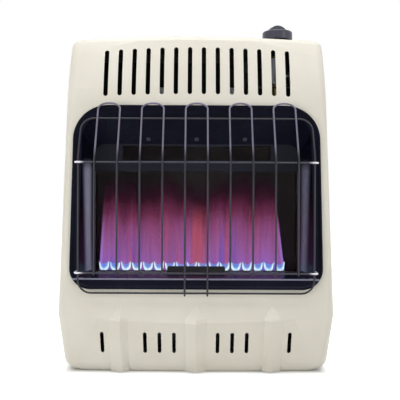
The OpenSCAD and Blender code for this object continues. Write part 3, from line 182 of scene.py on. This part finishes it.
def enamelFinish(slot, look):
    made = Finish(slot)
    cloud = made.noise(look["cloudScale"], 3.0)
    peel = made.noise(look["peelScale"], 2.0)
    specks = made.between(made.noise(look["speckScale"], 1.0), 0.70, 0.78)
    colour = made.twoTones(cloud, look)
    if "foldHighlightTone" in look:  # a painted highlight along the sill's front fold
        foldHighlight = made.between(abs(made.axis("Z") - look["foldHighlightHeight"]), *look["foldHighlightFade"])
        foldHighlight = foldHighlight * made.between(made.axis("Y"), *look["foldHighlightBack"])
        colour = made.mix(foldHighlight, colour, look["foldHighlightTone"])
    smoothest, roughest = look["rough"] - 0.03, look["rough"] + 0.05
    made.set(
        Base_Color=made.mix(specks * look["specks"], colour, look["speckTone"]),
        Roughness=made.between(cloud, 0.25, 0.75, smoothest, roughest),
        Specular_IOR_Level=look["shine"],
        Normal=made.bump(peel, look["peel"], fineRelief),
    )
    finishes[slot] = made.material


enamelFinish("cream_enamel", {
    "tone": tone(225, 221, 209), "otherTone": tone(220, 215, 202), "speckTone": tone(204, 198, 182),
    "specks": 0.25, "cloudScale": 9.0, "speckScale": 900.0, "peelScale": 1100.0, "peel": 0.10,
    "rough": 0.36, "shine": 0.3,
})
enamelFinish("dark_enamel", {
    "tone": tone(17, 19, 32), "otherTone": tone(22, 24, 38), "speckTone": tone(46, 48, 62),
    "specks": 0.2, "cloudScale": 14.0, "speckScale": 1300.0, "peelScale": 700.0, "peel": 0.12,
    # the fold keys paint a pale highlight along the sill's front fold
    "rough": 0.24, "shine": 0.04, "foldHighlightTone": tone(138, 138, 156),
    "foldHighlightHeight": 0.1646, "foldHighlightFade": (0.0021, 0.0008), "foldHighlightBack": (-0.1000, -0.1030),
})
enamelFinish("frame_enamel", {
    "tone": tone(34, 34, 44), "otherTone": tone(40, 40, 50), "speckTone": tone(66, 66, 78),
    "specks": 0.2, "cloudScale": 14.0, "speckScale": 1300.0, "peelScale": 700.0, "peel": 0.12,
    "rough": 0.36, "shine": 0.06,
})


def metalFinish(slot, look):
    made = Finish(slot)
    grain = made.noise(look["grainScale"], 3.0, look.get("stretch", (1, 1, 1)))
    stain = made.noise(look.get("stainScale", 30.0), 4.0)
    colour = made.twoTones(grain, look)
    if "spangle" in look:  # crystals of hot-dipped zinc
        crystals = made.crystals(look["spangle"]) * look["spangleShare"]
        colour = made.mix(crystals, colour, look["spangleTone"])
    if "upperSheenTone" in look:  # a painted sheen that makes the wires brighter above the window
        upperSheen = made.between(made.axis("Z"), *look["upperSheenFade"])
        colour = made.mix(upperSheen, colour, look["upperSheenTone"])
    if "tipGlintTone" in look:  # a painted glint at the bars' bent ends
        tipGlint = made.between(abs(made.axis("X")), *look["tipFade"])
        colour = made.mix(tipGlint, colour, look["tipGlintTone"])
    smoothest, roughest = look["rough"] - 0.06, look["rough"] + 0.08
    made.set(
        Base_Color=made.mix(made.between(stain, 0.5, 0.8) * look["stain"], colour, look["stainTone"]),
        Metallic=look.get("metal", 1.0),
        Roughness=made.between(grain, 0.2, 0.8, smoothest, roughest),
        Normal=made.bump(grain, look["bump"], fineRelief),
    )
    finishes[slot] = made.material


metalFinish("zinc_sheet", {
    "tone": tone(176, 180, 184), "otherTone": tone(160, 165, 170), "stainTone": tone(140, 142, 142),
    "grainScale": 500.0, "rough": 0.42, "bump": 0.05, "stain": 0.35,
    "spangle": 90.0, "spangleShare": 0.5, "spangleTone": tone(200, 205, 210),
})
metalFinish("burner_steel", {
    "tone": tone(128, 118, 108), "otherTone": tone(96, 88, 86), "stainTone": tone(70, 66, 92),
    "grainScale": 260.0, "rough": 0.46, "bump": 0.10, "stain": 0.8, "stainScale": 24.0,
})
metalFinish("bright_steel", {
    "tone": tone(190, 190, 192), "otherTone": tone(170, 170, 174), "stainTone": tone(150, 140, 126),
    "grainScale": 900.0, "stretch": (1, 1, 0.1), "rough": 0.26, "bump": 0.04, "stain": 0.3,
})
metalFinish("screw_steel", {
    "tone": tone(150, 150, 156), "otherTone": tone(120, 120, 128), "stainTone": tone(96, 92, 90),
    "grainScale": 1500.0, "rough": 0.32, "bump": 0.05, "stain": 0.4,
})
metalFinish("cast_alloy", {
    "tone": tone(168, 170, 174), "otherTone": tone(150, 152, 158), "stainTone": tone(128, 128, 130),
    "grainScale": 1400.0, "rough": 0.5, "bump": 0.35, "stain": 0.35,
})
metalFinish("pipe_aluminium", {
    "tone": tone(196, 198, 200), "otherTone": tone(178, 181, 184), "stainTone": tone(158, 158, 158),
    "grainScale": 900.0, "rough": 0.34, "bump": 0.06, "stain": 0.3,
})
metalFinish("brass", {
    "tone": tone(196, 162, 92), "otherTone": tone(178, 144, 78), "stainTone": tone(136, 104, 62),
    "grainScale": 900.0, "rough": 0.28, "bump": 0.05, "stain": 0.45,
})
metalFinish("copper_lead", {
    "tone": tone(186, 118, 84), "otherTone": tone(160, 98, 70), "stainTone": tone(110, 72, 58),
    "grainScale": 1200.0, "rough": 0.36, "bump": 0.05, "stain": 0.5,
})
metalFinish("loop_wire", {
    "tone": tone(34, 32, 42), "otherTone": tone(24, 23, 32), "stainTone": tone(22, 20, 24),
    "grainScale": 700.0, "rough": 0.42, "bump": 0.04, "metal": 0.2, "stain": 0.4,
})
metalFinish("bar_wire", {
    "tone": tone(52, 50, 62), "otherTone": tone(40, 38, 50), "stainTone": tone(34, 32, 38),
    "grainScale": 700.0, "rough": 0.34, "bump": 0.04, "metal": 0.3, "stain": 0.3,
    # the bars' ends get a pale painted glint
    "tipGlintTone": tone(226, 222, 232), "tipFade": (0.186, 0.199),
})
metalFinish("hood_screw", {
    "tone": tone(58, 58, 70), "otherTone": tone(46, 46, 58), "stainTone": tone(36, 35, 44),
    "grainScale": 1500.0, "rough": 0.42, "bump": 0.05, "metal": 0.2, "stain": 0.4,
})
metalFinish("guard_wire", {
    "tone": tone(40, 38, 50), "otherTone": tone(30, 29, 39), "stainTone": tone(28, 25, 30),
    "grainScale": 700.0, "rough": 0.34, "bump": 0.04, "metal": 0.3, "stain": 0.4,
    # the wires above the window get a lighter painted sheen
    "upperSheenTone": tone(112, 108, 126), "upperSheenFade": (0.368, 0.392),
})


def dullFinish(slot, look):
    made = Finish(slot)
    grain = made.noise(look["grainScale"], 3.0)
    cloud = made.noise(look["cloudScale"], 4.0)
    flecks = made.between(grain, 0.6, 0.75) * look.get("fleck", 0.2)
    smoothest, roughest = look["rough"] - 0.06, look["rough"] + 0.06
    made.set(
        Base_Color=made.mix(flecks, made.twoTones(cloud, look), look["fleckTone"]),
        Roughness=made.between(cloud, 0.2, 0.8, smoothest, roughest),
        Normal=made.bump(grain, look["bump"], coarseRelief),
    )
    finishes[slot] = made.material


dullFinish("knob_plastic", {
    "tone": tone(54, 54, 70), "otherTone": tone(48, 48, 63), "fleckTone": tone(72, 72, 86),
    "grainScale": 2200.0, "cloudScale": 40.0, "rough": 0.36, "bump": 0.08, "fleck": 0.15,
})
dullFinish("black_plastic", {
    "tone": tone(30, 30, 33), "otherTone": tone(25, 25, 28), "fleckTone": tone(48, 48, 52),
    "grainScale": 2400.0, "cloudScale": 60.0, "rough": 0.42, "bump": 0.10,
})
dullFinish("lead_sleeve", {
    "tone": tone(36, 34, 34), "otherTone": tone(28, 27, 28), "fleckTone": tone(60, 57, 56),
    "grainScale": 1800.0, "cloudScale": 90.0, "rough": 0.55, "bump": 0.12,
})
dullFinish("black_rubber", {
    "tone": tone(32, 31, 32), "otherTone": tone(25, 25, 26), "fleckTone": tone(64, 62, 60),
    "grainScale": 1500.0, "cloudScale": 120.0, "rough": 0.78, "bump": 0.25,
})
dullFinish("black_steel", {
    "tone": tone(22, 22, 27), "otherTone": tone(15, 15, 20), "fleckTone": tone(50, 48, 56),
    "grainScale": 1600.0, "cloudScale": 40.0, "rough": 0.5, "bump": 0.15,
})
dullFinish("sooted_steel", {
    "tone": tone(30, 20, 16), "otherTone": tone(15, 7, 9), "fleckTone": tone(50, 36, 26),
    "grainScale": 600.0, "cloudScale": 9.0, "rough": 0.72, "bump": 0.25, "fleck": 0.35,
})
dullFinish("fibre_tape", {
    "tone": tone(206, 200, 186), "otherTone": tone(184, 176, 160), "fleckTone": tone(230, 226, 216),
    "grainScale": 2400.0, "cloudScale": 160.0, "rough": 0.9, "bump": 0.6, "fleck": 0.6,
})
dullFinish("white_ceramic", {
    "tone": tone(232, 228, 218), "otherTone": tone(222, 216, 204), "fleckTone": tone(190, 180, 166),
    "grainScale": 1500.0, "cloudScale": 90.0, "rough": 0.25, "bump": 0.04,
})
dullFinish("cover_undercoat", {
    "tone": tone(58, 57, 54), "otherTone": tone(46, 45, 43), "fleckTone": tone(80, 78, 74),
    "grainScale": 900.0, "cloudScale": 12.0, "rough": 0.7, "bump": 0.1,
})
dullFinish("zinc_painted_shade", {  # zinc sheets over the firebox and at the valve, painted near-black as shade inside the cover
    "tone": tone(16, 15, 14), "otherTone": tone(11, 10, 10), "fleckTone": tone(34, 32, 30),
    "grainScale": 700.0, "cloudScale": 10.0, "rough": 0.85, "bump": 0.08,
})


def glassFinish(slot, look):
    made = Finish(slot)
    film = made.noise(look["filmScale"], 4.0)
    made.set(
        Base_Color=made.mix(film, look["tone"], look["otherTone"]),
        Roughness=made.between(film, 0.4, 0.8, 0.0, look["film"]),
        IOR=look["ior"], Transmission_Weight=1.0,
    )
    finishes[slot] = made.material


glassFinish("window_glass", {
    "tone": tone(250, 252, 252), "otherTone": tone(244, 248, 248),
    "filmScale": 18.0, "film": 0.03, "ior": 1.09,  # a low ior keeps the room's reflection faint
})


def ductFinish(slot, look):
    # bare sheet behind the outlet slot, with a pale blue patch of painted light in its middle
    made = Finish(slot)
    cloud = made.noise(look["cloudScale"], 4.0)
    litPatch = made.between(abs(made.axis("X") - look["middle"]), *look["litPatchFade"])
    made.set(
        Base_Color=made.mix(litPatch * look["litPatchShare"], made.twoTones(cloud, look), look["litPatchTone"]),
        Roughness=made.between(cloud, 0.2, 0.8, *look["rough"]),
        Normal=made.bump(cloud, look["bump"], coarseRelief),
    )
    finishes[slot] = made.material


ductFinish("duct_painted_light", {
    # the pale blue patch in the middle is painted light
    "tone": tone(14, 12, 20), "otherTone": tone(10, 9, 16), "litPatchTone": tone(70, 80, 104),
    "middle": 0.016, "litPatchFade": (0.046, 0.034), "litPatchShare": 0.9,
    "cloudScale": 40.0, "rough": (0.5, 0.65), "bump": 0.1,
})


def jambSheenFinish(slot, look):
    # the recess's two side walls: a pale painted sheen towards the front, dark towards the window
    made = Finish(slot)
    y, z = made.axis("Y"), made.axis("Z")
    cloud = made.noise(look["cloudScale"], 3.0)
    front = made.between(y, *look["frontFade"]) * made.between(y, *look["backFade"])
    front = front * made.between(z, *look["topFade"])
    front = front * made.between(made.axis("X"), *look["sideFade"], look["rightShare"], 1.0)
    made.set(
        Base_Color=made.mix(front, look["rearDarkTone"], made.mix(cloud, look["tone"], look["otherTone"])),
        Roughness=made.between(cloud, 0.2, 0.8, *look["rough"]) - (1.0 - front) * look["rearSmoothing"],
        Specular_IOR_Level=look["shine"],
        Normal=made.bump(cloud, look["bump"], fineRelief),
    )
    finishes[slot] = made.material


jambSheenFinish("jamb_painted_sheen", {
    # the two pale tones are a painted sheen on the walls' front parts
    "tone": tone(166, 166, 190), "otherTone": tone(150, 150, 176), "rearDarkTone": tone(12, 12, 25),
    "frontFade": (-0.080, -0.058), "backFade": (-0.036, -0.052), "topFade": (0.372, 0.345),
    "sideFade": (0.1, -0.1), "rightShare": 0.5,  # the right wall gets half as much painted sheen
    "cloudScale": 60.0, "rough": (0.34, 0.44), "rearSmoothing": 0.22, "shine": 0.05, "bump": 0.05,
})


def panelFinish(slot, look):
    # the rear panel: bright zinc outside, near-black painted shade on its inner side
    made = Finish(slot)
    grain = made.noise(look["grainScale"], 3.0)
    bright = made.mix(grain, look["tone"], look["otherTone"])
    bright = made.mix(made.crystals(look["spangle"]) * look["spangleShare"], bright, look["spangleTone"])
    outside = made.between(made.axis("Y"), look["inner"], look["outer"])
    made.set(
        Base_Color=made.mix(outside, made.mix(grain, look["insideShadeTone"], look["otherInsideShade"]), bright),
        Metallic=outside,
        Roughness=made.between(outside, 0.0, 1.0, look["insideRough"], look["rough"]),
        Normal=made.bump(grain, look["bump"], fineRelief),
    )
    finishes[slot] = made.material


panelLow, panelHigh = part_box("back_panel")
panelFinish("back_sheet", {
    "tone": tone(176, 180, 184), "otherTone": tone(160, 165, 170),
    "spangle": 90.0, "spangleShare": 0.5, "spangleTone": tone(200, 205, 210),
    # the inner side's near-black is painted shade
    "insideShadeTone": tone(13, 12, 11), "otherInsideShade": tone(9, 8, 8),
    "inner": panelHigh.y - 0.0008, "outer": panelHigh.y - 0.0003,  # within the sheet, just under its back
    "grainScale": 500.0, "rough": 0.42, "insideRough": 0.9, "bump": 0.05,
})
print("finishes made:", len(finishes))

ownFinish = {
    "shroud_screws": "hood_screw", "back_panel": "back_sheet", "outlet_duct": "duct_painted_light",
    # deflector and valve bracket take the near-black painted shade
    "top_deflector": "zinc_painted_shade", "valve_bracket": "zinc_painted_shade",
}
slotOf = {}
for entry in nodes.values():
    slotOf[entry.name] = entry.material_slots[0].material.name.split(".")[0]
    entry.material_slots[0].material = finishes[ownFinish.get(entry.name, slotOf[entry.name])]

sheetLook = {
    "weld": 0.000004,  # corners that lie closer are one
    "flat": 0.3,  # faces that meet at fewer degrees are one
    "leastFold": 9, "mostFold": 80, "pressSegments": 3,  # degrees of a fold that a press leaves round
    "forward": -0.25,  # both its faces look at least this much to the front
    "flatten": 2,  # weight of the depth in telling the cover's inner side
    "inward": -0.1,  # a jamb looks at least this much to the middle
}


def pressFolds(bm, low, high, reach, radius):
    # rounds the front's folds between two heights, up to a distance from the middle
    folds = [edge for edge in bm.edges if len(edge.link_faces) == 2
             and sheetLook["leastFold"] < math.degrees(edge.calc_face_angle()) < sheetLook["mostFold"]
             and all(face.normal.y < sheetLook["forward"] for face in edge.link_faces)
             and all(low < vert.co.z < high and abs(vert.co.x) < reach for vert in edge.verts)]
    bmesh.ops.bevel(bm, geom=folds, offset=radius, offset_type="OFFSET", segments=sheetLook["pressSegments"],
                    profile=0.5, affect="EDGES", clamp_overlap=True, material=-1)
    print("pressed folds:", len(folds))


def innerFaces(bm):
    middle = (Vector(cadBox[0]) + Vector(cadBox[1])) / 2
    for face in bm.faces:
        off = face.calc_center_median() - middle
        off.y *= sheetLook["flatten"]
        if off.dot(face.normal) < 0:
            yield face


def jambFaces(bm, low, high, near, far):
    for face in bm.faces:
        spot = face.calc_center_median()
        if low < spot.z < high and near < abs(spot.x) < far and face.normal.x * spot.x < sheetLook["inward"]:
            yield face


def softened(pieceName, nodeName, look):
    # a copy of the node, its triangles merged into whole faces, its folds rounded by a Bevel
    bm = bmesh.new()
    bm.from_mesh(nodes[nodeName].data)
    bmesh.ops.remove_doubles(bm, verts=bm.verts, dist=sheetLook["weld"])
    flat = math.radians(sheetLook["flat"])
    bmesh.ops.dissolve_limit(bm, angle_limit=flat, verts=bm.verts, edges=bm.edges)
    if "pressed" in look:
        pressFolds(bm, **look["pressed"])
    if "lined" in look:
        for face in innerFaces(bm):
            face.material_index = 1
    if "jamb" in look:
        for face in jambFaces(bm, **look["jamb"]):
            face.material_index = 1
    mesh = bpy.data.meshes.new(pieceName)
    bm.to_mesh(mesh)
    bm.free()
    for face in mesh.polygons:
        face.use_smooth = True
    mesh.set_sharp_from_angle(angle=math.radians(look["sharp"]))
    mesh.materials.append(finishes[look.get("finish", slotOf[nodeName])])
    if "second" in look:  # the finish of the faces picked above
        mesh.materials.append(finishes[look["second"]])
    piece = bpy.data.objects.new(pieceName, mesh)
    bpy.context.scene.collection.objects.link(piece)
    if "edge" in look:
        rounding = piece.modifiers.new("softEdges", "BEVEL")
        rounding.width = look["edge"]
        rounding.segments = look.get("segments", 2)
        rounding.limit_method = "ANGLE"
        rounding.angle_limit = math.radians(look["fold"])
        rounding.use_clamp_overlap = True
        rounding.harden_normals = True
    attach(piece, look.get("body", "heater"))
    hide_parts(nodeName)
    return piece


softPieces = {
    "coverShell": ("front_cover", {
        "sharp": 30, "edge": 0.0004, "fold": 60, "lined": True, "second": "cover_undercoat",
        "pressed": {"low": 0.002, "high": 0.135, "reach": 0.215, "radius": 0.0025},
    }),
    "shroudShell": ("opening_shroud", {
        "sharp": 32, "edge": 0.0012, "segments": 3, "fold": 38, "second": "jamb_painted_sheen",
        "jamb": {"low": 0.185, "high": 0.40, "near": 0.17, "far": 0.21},
    }),
    "windowSurround": ("window_frame", {"sharp": 30, "edge": 0.0004, "fold": 50, "finish": "frame_enamel"}),
    "pilotShade": ("pilot_shield", {"sharp": 30, "edge": 0.0003, "fold": 50}),
    "hoopWires": ("guard_hoops", {"sharp": 60}),
    "frameWire": ("guard_frame", {"sharp": 60, "finish": "loop_wire"}),
    "crossWires": ("guard_crossbars", {"sharp": 60, "finish": "bar_wire"}),
    "knobCap": ("control_knob", {"sharp": 30, "edge": 0.0009, "segments": 3, "fold": 40, "body": "knob"}),
}
for pieceName, (nodeName, look) in softPieces.items():
    softened(pieceName, nodeName, look)
print("soft-edged pieces made:", len(softPieces))

returnSpring = softened("returnSpring", "stem_spring", {"sharp": 80})
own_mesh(returnSpring)
print("spring made")

burnerLow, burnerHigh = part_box("burner_tube")
flame = {
    "left": -0.1845, "right": 0.1685, "foot": burnerHigh.z - 0.0005, "top": 0.345,
    "middle": (burnerLow.y + burnerHigh.y) / 2,
}
flameWide = flame["right"] - flame["left"]
flameTall = flame["top"] - flame["foot"]

curtain = {
    "layers": (-0.001, 0.003, 0.007), "columns": 90, "rows": 14,
    "wave": 0.0035, "waveRate": 150, "layerTurn": 2.1, "lean": 0.006,
    "stops": [
        (0.00, tone(112, 90, 196)), (0.07, tone(150, 94, 172)), (0.25, tone(146, 86, 146)),
        (0.45, tone(134, 70, 116)), (0.60, tone(96, 38, 66)), (0.76, tone(44, 12, 24)),
        (1.00, tone(16, 4, 8)),
    ],
    "warmTone": tone(184, 80, 84), "coolTone": tone(104, 78, 172), "streakTone": tone(60, 28, 58),
    "rimTone": tone(160, 122, 214),
    # how many waves of noise a metre holds along x, y and z, how much it counts, where it fades in
    "swell": (17, 30, 1.5), "swellShare": 0.50, "tongue": (62, 90, 4.0), "tongueShare": 0.20,
    "warm": (57, 60, 2.0), "warmShare": 0.66, "warmFade": (0.47, 0.68), "warmHeights": (0.75, 0.30),
    "cool": (70, 40, 6.0), "coolShare": 0.7, "coolFade": (0.56, 0.72), "lowHeights": (0.62, 0.05),
    "streak": (190, 120, 9.0), "streakShare": 0.22, "streakFade": (0.35, 0.65),
    "leftLean": 0.010, "rightLean": 0.022, "edgeFade": (0.0, 0.003),
    "rimFade": (0.008, 0.002), "rimShare": 0.8, "tipFade": (1.0, 0.6), "density": 0.62, "glow": 1.15,
}


def curtainFinish():
    made = Finish("flame_body")
    x, z = made.axis("X"), made.axis("Z")
    height = (z - flame["foot"]) / flameTall
    swell = made.waves(curtain["swell"], 1.0) - 0.5
    tongue = made.waves(curtain["tongue"], 2.0) - 0.5
    reach = height + swell * curtain["swellShare"] + tongue * curtain["tongueShare"]  # 1 where a flame ends
    low = made.between(height, *curtain["lowHeights"])
    warm = made.between(made.waves(curtain["warm"], 1.0), *curtain["warmFade"])
    warm = warm * made.between(height, *curtain["warmHeights"])
    cool = made.between(made.waves(curtain["cool"], 1.0), *curtain["coolFade"]) * low
    streak = made.between(made.waves(curtain["streak"], 2.0), *curtain["streakFade"])
    leftGap = x - flame["left"] - height * curtain["leftLean"]
    rightGap = flame["right"] - x - height * curtain["rightLean"]
    sides = made.between(leftGap, *curtain["edgeFade"]) * made.between(rightGap, *curtain["edgeFade"])
    rim = made.between(leftGap, *curtain["rimFade"]) + made.between(rightGap, *curtain["rimFade"])
    body = made.ramp(reach, curtain["stops"])
    body = made.mix(warm * curtain["warmShare"], body, curtain["warmTone"])
    body = made.mix(cool * curtain["coolShare"], body, curtain["coolTone"])
    body = made.mix(streak * curtain["streakShare"], body, curtain["streakTone"])
    body = made.mix(made.between(rim, 0.0, 1.0) * low * curtain["rimShare"], body, curtain["rimTone"])
    made.set(
        Base_Color=tone(0, 0, 0), Roughness=1.0, Specular_IOR_Level=0.0,
        Emission_Color=body, Emission_Strength=curtain["glow"],
        Alpha=made.between(reach, *curtain["tipFade"], 0.0, curtain["density"]) * sides,
    )
    return made.material


def flameCurtains():
    bm = bmesh.new()
    middleX, middleZ = (flame["left"] + flame["right"]) / 2, (flame["foot"] + flame["top"]) / 2
    upright = Matrix.Rotation(math.radians(90), 4, "X") @ Matrix.Diagonal((flameWide, flameTall, 1, 1))
    for place, back in enumerate(curtain["layers"]):
        centre = (middleX, flame["middle"] + back, middleZ)
        grid = bmesh.ops.create_grid(bm, x_segments=curtain["columns"], y_segments=curtain["rows"], size=0.5,
                                     matrix=Matrix.Translation(centre) @ upright)
        for vert in grid["verts"]:
            up = (vert.co.z - flame["foot"]) / flameTall
            wave = math.sin(vert.co.x * curtain["waveRate"] + place * curtain["layerTurn"])
            vert.co.y += curtain["wave"] * up * wave + curtain["lean"] * up * up
    mesh = bpy.data.meshes.new("flameCurtains")
    bm.to_mesh(mesh)
    bm.free()
    return mesh


cup = {
    "count": 17, "tall": 0.0150, "foot": 0.0080, "mouth": 0.0100, "sides": 24, "depth": 0.55,
    "cornerRise": 0.0035, "dip": 0.002, "uneven": 0.0012, "cupTurn": 2.3, "lipTurn": 3, "glow": 1.1,
    "bowlTone": tone(90, 150, 236), "limbTone": tone(224, 254, 255), "flickerTone": tone(110, 160, 240),
    "footRound": 0.92, "limbFade": (0.45, 0.85), "limbShare": 0.4, "outlineFade": (1.08, 0.96),
    "flicker": (420, 200, 60), "flickerShare": 0.5, "flickerFade": (0.45, 0.65),
    "lipFade": (1.25, 0.7), "lipDensity": 0.15, "density": 0.9,
}
cupPitch = flameWide / cup["count"]


def cupFinish():
    made = Finish("flame_foot")
    x, z = made.axis("X"), made.axis("Z")
    across = abs(made.maths("FRACT", (x - flame["left"]) / cupPitch, 0.0) - 0.5) * 2.0
    height = (z - flame["foot"]) / cup["tall"]
    bowl = (across ** 2.0 + ((1.0 - height) * cup["footRound"]) ** 2.0) ** 0.5  # 1 at the cup's outline
    limb = made.between(bowl, *cup["limbFade"])
    flicker = made.between(made.waves(cup["flicker"], 2.0), *cup["flickerFade"])
    glow = made.mix(limb, cup["bowlTone"], cup["limbTone"])
    glow = made.mix(flicker * cup["flickerShare"], glow, cup["flickerTone"])
    body = made.between(height, *cup["lipFade"], cup["lipDensity"], cup["density"])
    body = body * (limb * cup["limbShare"] + (1 - cup["limbShare"]))
    made.set(
        Base_Color=tone(0, 0, 0), Roughness=1.0, Specular_IOR_Level=0.0,
        Emission_Color=glow, Emission_Strength=cup["glow"],
        Alpha=body * made.between(bowl, *cup["outlineFade"]),
    )
    return made.material


def flameCups():
    bm = bmesh.new()
    for i in range(cup["count"]):
        across = flame["left"] + cupPitch * (i + 0.5)
        centre = Vector((across, flame["middle"], flame["foot"] + cup["tall"] / 2))
        made = bmesh.ops.create_cone(
            bm, cap_ends=False, segments=cup["sides"], radius1=cup["foot"], radius2=cup["mouth"],
            depth=cup["tall"], matrix=Matrix.Translation(centre) @ Matrix.Diagonal((1, cup["depth"], 1, 1)),
        )
        for vert in made["verts"]:
            if vert.co.z > centre.z:  # the mouth's rim, higher at its two sides
                off = (vert.co.x - centre.x) / cup["mouth"]
                wave = math.sin(i * cup["cupTurn"] + off * cup["lipTurn"])
                vert.co.z += cup["cornerRise"] * off * off - cup["dip"] + cup["uneven"] * wave
    mesh = bpy.data.meshes.new("flameCups")
    bm.to_mesh(mesh)
    bm.free()
    return mesh


for mesh, glowing in ((flameCurtains(), curtainFinish()), (flameCups(), cupFinish())):
    mesh.materials.append(glowing)
    for face in mesh.polygons:
        face.use_smooth = True
    piece = bpy.data.objects.new(mesh.name, mesh)
    bpy.context.scene.collection.objects.link(piece)
    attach(piece, "heater")
print("flames made")

stageLook = {
    "floorTone": tone(226, 226, 224), "floorGlow": 0.72, "floorSize": 6.0, "floorDrop": 0.0006,
    "shadowBox": (0.225, 0.095, 0.012),  # half width, half depth and middle of the floor that doesn't glow, a painted shadow under the heater
    "shadowFade": (-0.02, 0.02),
    "airTone": (1, 1, 1, 1), "lowAir": 0.26, "highAir": 0.56, "airHeights": (0.1, 0.9),
}

bm = bmesh.new()
floorPlace = Matrix.Translation((0, 0, -stageLook["floorDrop"]))
bmesh.ops.create_grid(bm, x_segments=1, y_segments=1, size=stageLook["floorSize"], matrix=floorPlace)
floorMesh = bpy.data.meshes.new("floor")
bm.to_mesh(floorMesh)
bm.free()
floor = bpy.data.objects.new("floor", floorMesh)
bpy.context.scene.collection.objects.link(floor)

# the floor glows white for the camera, for metal and for glass, and keeps the object's shadow; under the
# heater it doesn't glow, a painted shadow
paint = Finish("floor_paint")
seen = paint.node("ShaderNodeLightPath", output="Is Camera Ray")
mirrored = paint.node("ShaderNodeLightPath", output="Is Glossy Ray")
through = paint.node("ShaderNodeLightPath", output="Is Transmission Ray")
halfWide, halfDeep, midDeep = stageLook["shadowBox"]
besides = paint.maths("MAXIMUM", abs(paint.axis("X")) - halfWide, abs(paint.axis("Y") - midDeep) - halfDeep)
direct = paint.maths("MINIMUM", seen + mirrored + through, 1.0)
glow = direct * paint.between(besides, *stageLook["shadowFade"])
paint.set(
    Base_Color=stageLook["floorTone"], Roughness=0.9, Specular_IOR_Level=0.0,
    Emission_Color=paint.mix(glow, tone(0, 0, 0), tone(255, 255, 255)),
    Emission_Strength=stageLook["floorGlow"],
)
floorMesh.materials.append(paint.material)

world = bpy.data.worlds.new("studioAir")
bpy.context.scene.world = world
world.use_nodes = True
air = world.node_tree


def airNode(kind, settings=None, sockets=None, output=0):
    made = air.nodes.new(kind)
    for name, value in (settings or {}).items():
        setattr(made, name, value)
    for name, value in (sockets or {}).items():
        if isinstance(value, bpy.types.NodeSocket):
            air.links.new(value, made.inputs[name])
        else:
            made.inputs[name].default_value = value
    return made.outputs[output]


# soft light that grows from the horizon up, behind it a white that only the camera, metal and glass see
way = airNode("ShaderNodeTexCoord", output="Generated")
up = airNode("ShaderNodeSeparateXYZ", {}, {"Vector": way}, "Z")
airFrom, airTo = stageLook["airHeights"]
strength = airNode("ShaderNodeMapRange", {}, {
    "Value": up, "From Min": airFrom, "From Max": airTo,
    "To Min": stageLook["lowAir"], "To Max": stageLook["highAir"],
})
lit = airNode("ShaderNodeBackground", {}, {"Color": stageLook["airTone"], "Strength": strength})
white = airNode("ShaderNodeBackground", {}, {"Color": stageLook["airTone"], "Strength": 1.0})
looking = airNode("ShaderNodeLightPath", output="Is Camera Ray")
for ray in ("Is Glossy Ray", "Is Transmission Ray"):
    other = airNode("ShaderNodeLightPath", output=ray)
    looking = airNode("ShaderNodeMath", {"operation": "ADD", "use_clamp": True}, {0: looking, 1: other})
shown = airNode("ShaderNodeMixShader", {}, {"Fac": looking, 1: lit, 2: white})
air.links.new(shown, air.nodes["World Output"].inputs["Surface"])

lamps = {
    "skyBox": {"place": (0.0, -0.4, 2.45), "size": (2.4, 1.3), "power": 43.0},
    "leftBox": {"place": (-1.5, -1.3, 0.08), "size": (0.6, 0.6), "power": 14.5},
    "rightBox": {"place": (2.2, -1.0, 0.2), "size": (0.6, 0.6), "power": 8.0},
    "gripGlint": {"place": (1.6, -1.55, 1.05), "size": (0.3, 0.3), "power": 3.0},
}
lampAim = Vector((0, 0, 0.3))
for name, lamp in lamps.items():
    data = bpy.data.lights.new(name, "AREA")
    data.shape = "RECTANGLE"
    data.size, data.size_y = lamp["size"]
    data.energy = lamp["power"]
    light = bpy.data.objects.new(name, data)
    light.location = lamp["place"]
    light.rotation_euler = (lampAim - light.location).to_track_quat("-Z", "Y").to_euler()
    bpy.context.scene.collection.objects.link(light)

eye = {
    "place": (0.0, -1.11435, 0.341), "lens": 53.64, "sensor": 36.0,
    "shift": (0.00875, -0.0625), "clip": (0.01, 50.0), "turn": (90, -0.25, 0),
}
cameraData = bpy.data.cameras.new("photoCamera")
cameraData.sensor_width = eye["sensor"]
cameraData.lens = eye["lens"]
cameraData.shift_x, cameraData.shift_y = eye["shift"]
cameraData.clip_start, cameraData.clip_end = eye["clip"]
camera = bpy.data.objects.new("photoCamera", cameraData)
camera.location = eye["place"]
camera.rotation_euler = [math.radians(degrees) for degrees in eye["turn"]]
bpy.context.scene.collection.objects.link(camera)
bpy.context.scene.camera = camera
bpy.context.scene.view_settings.view_transform = "Standard"
print("stage, lamps and camera made")
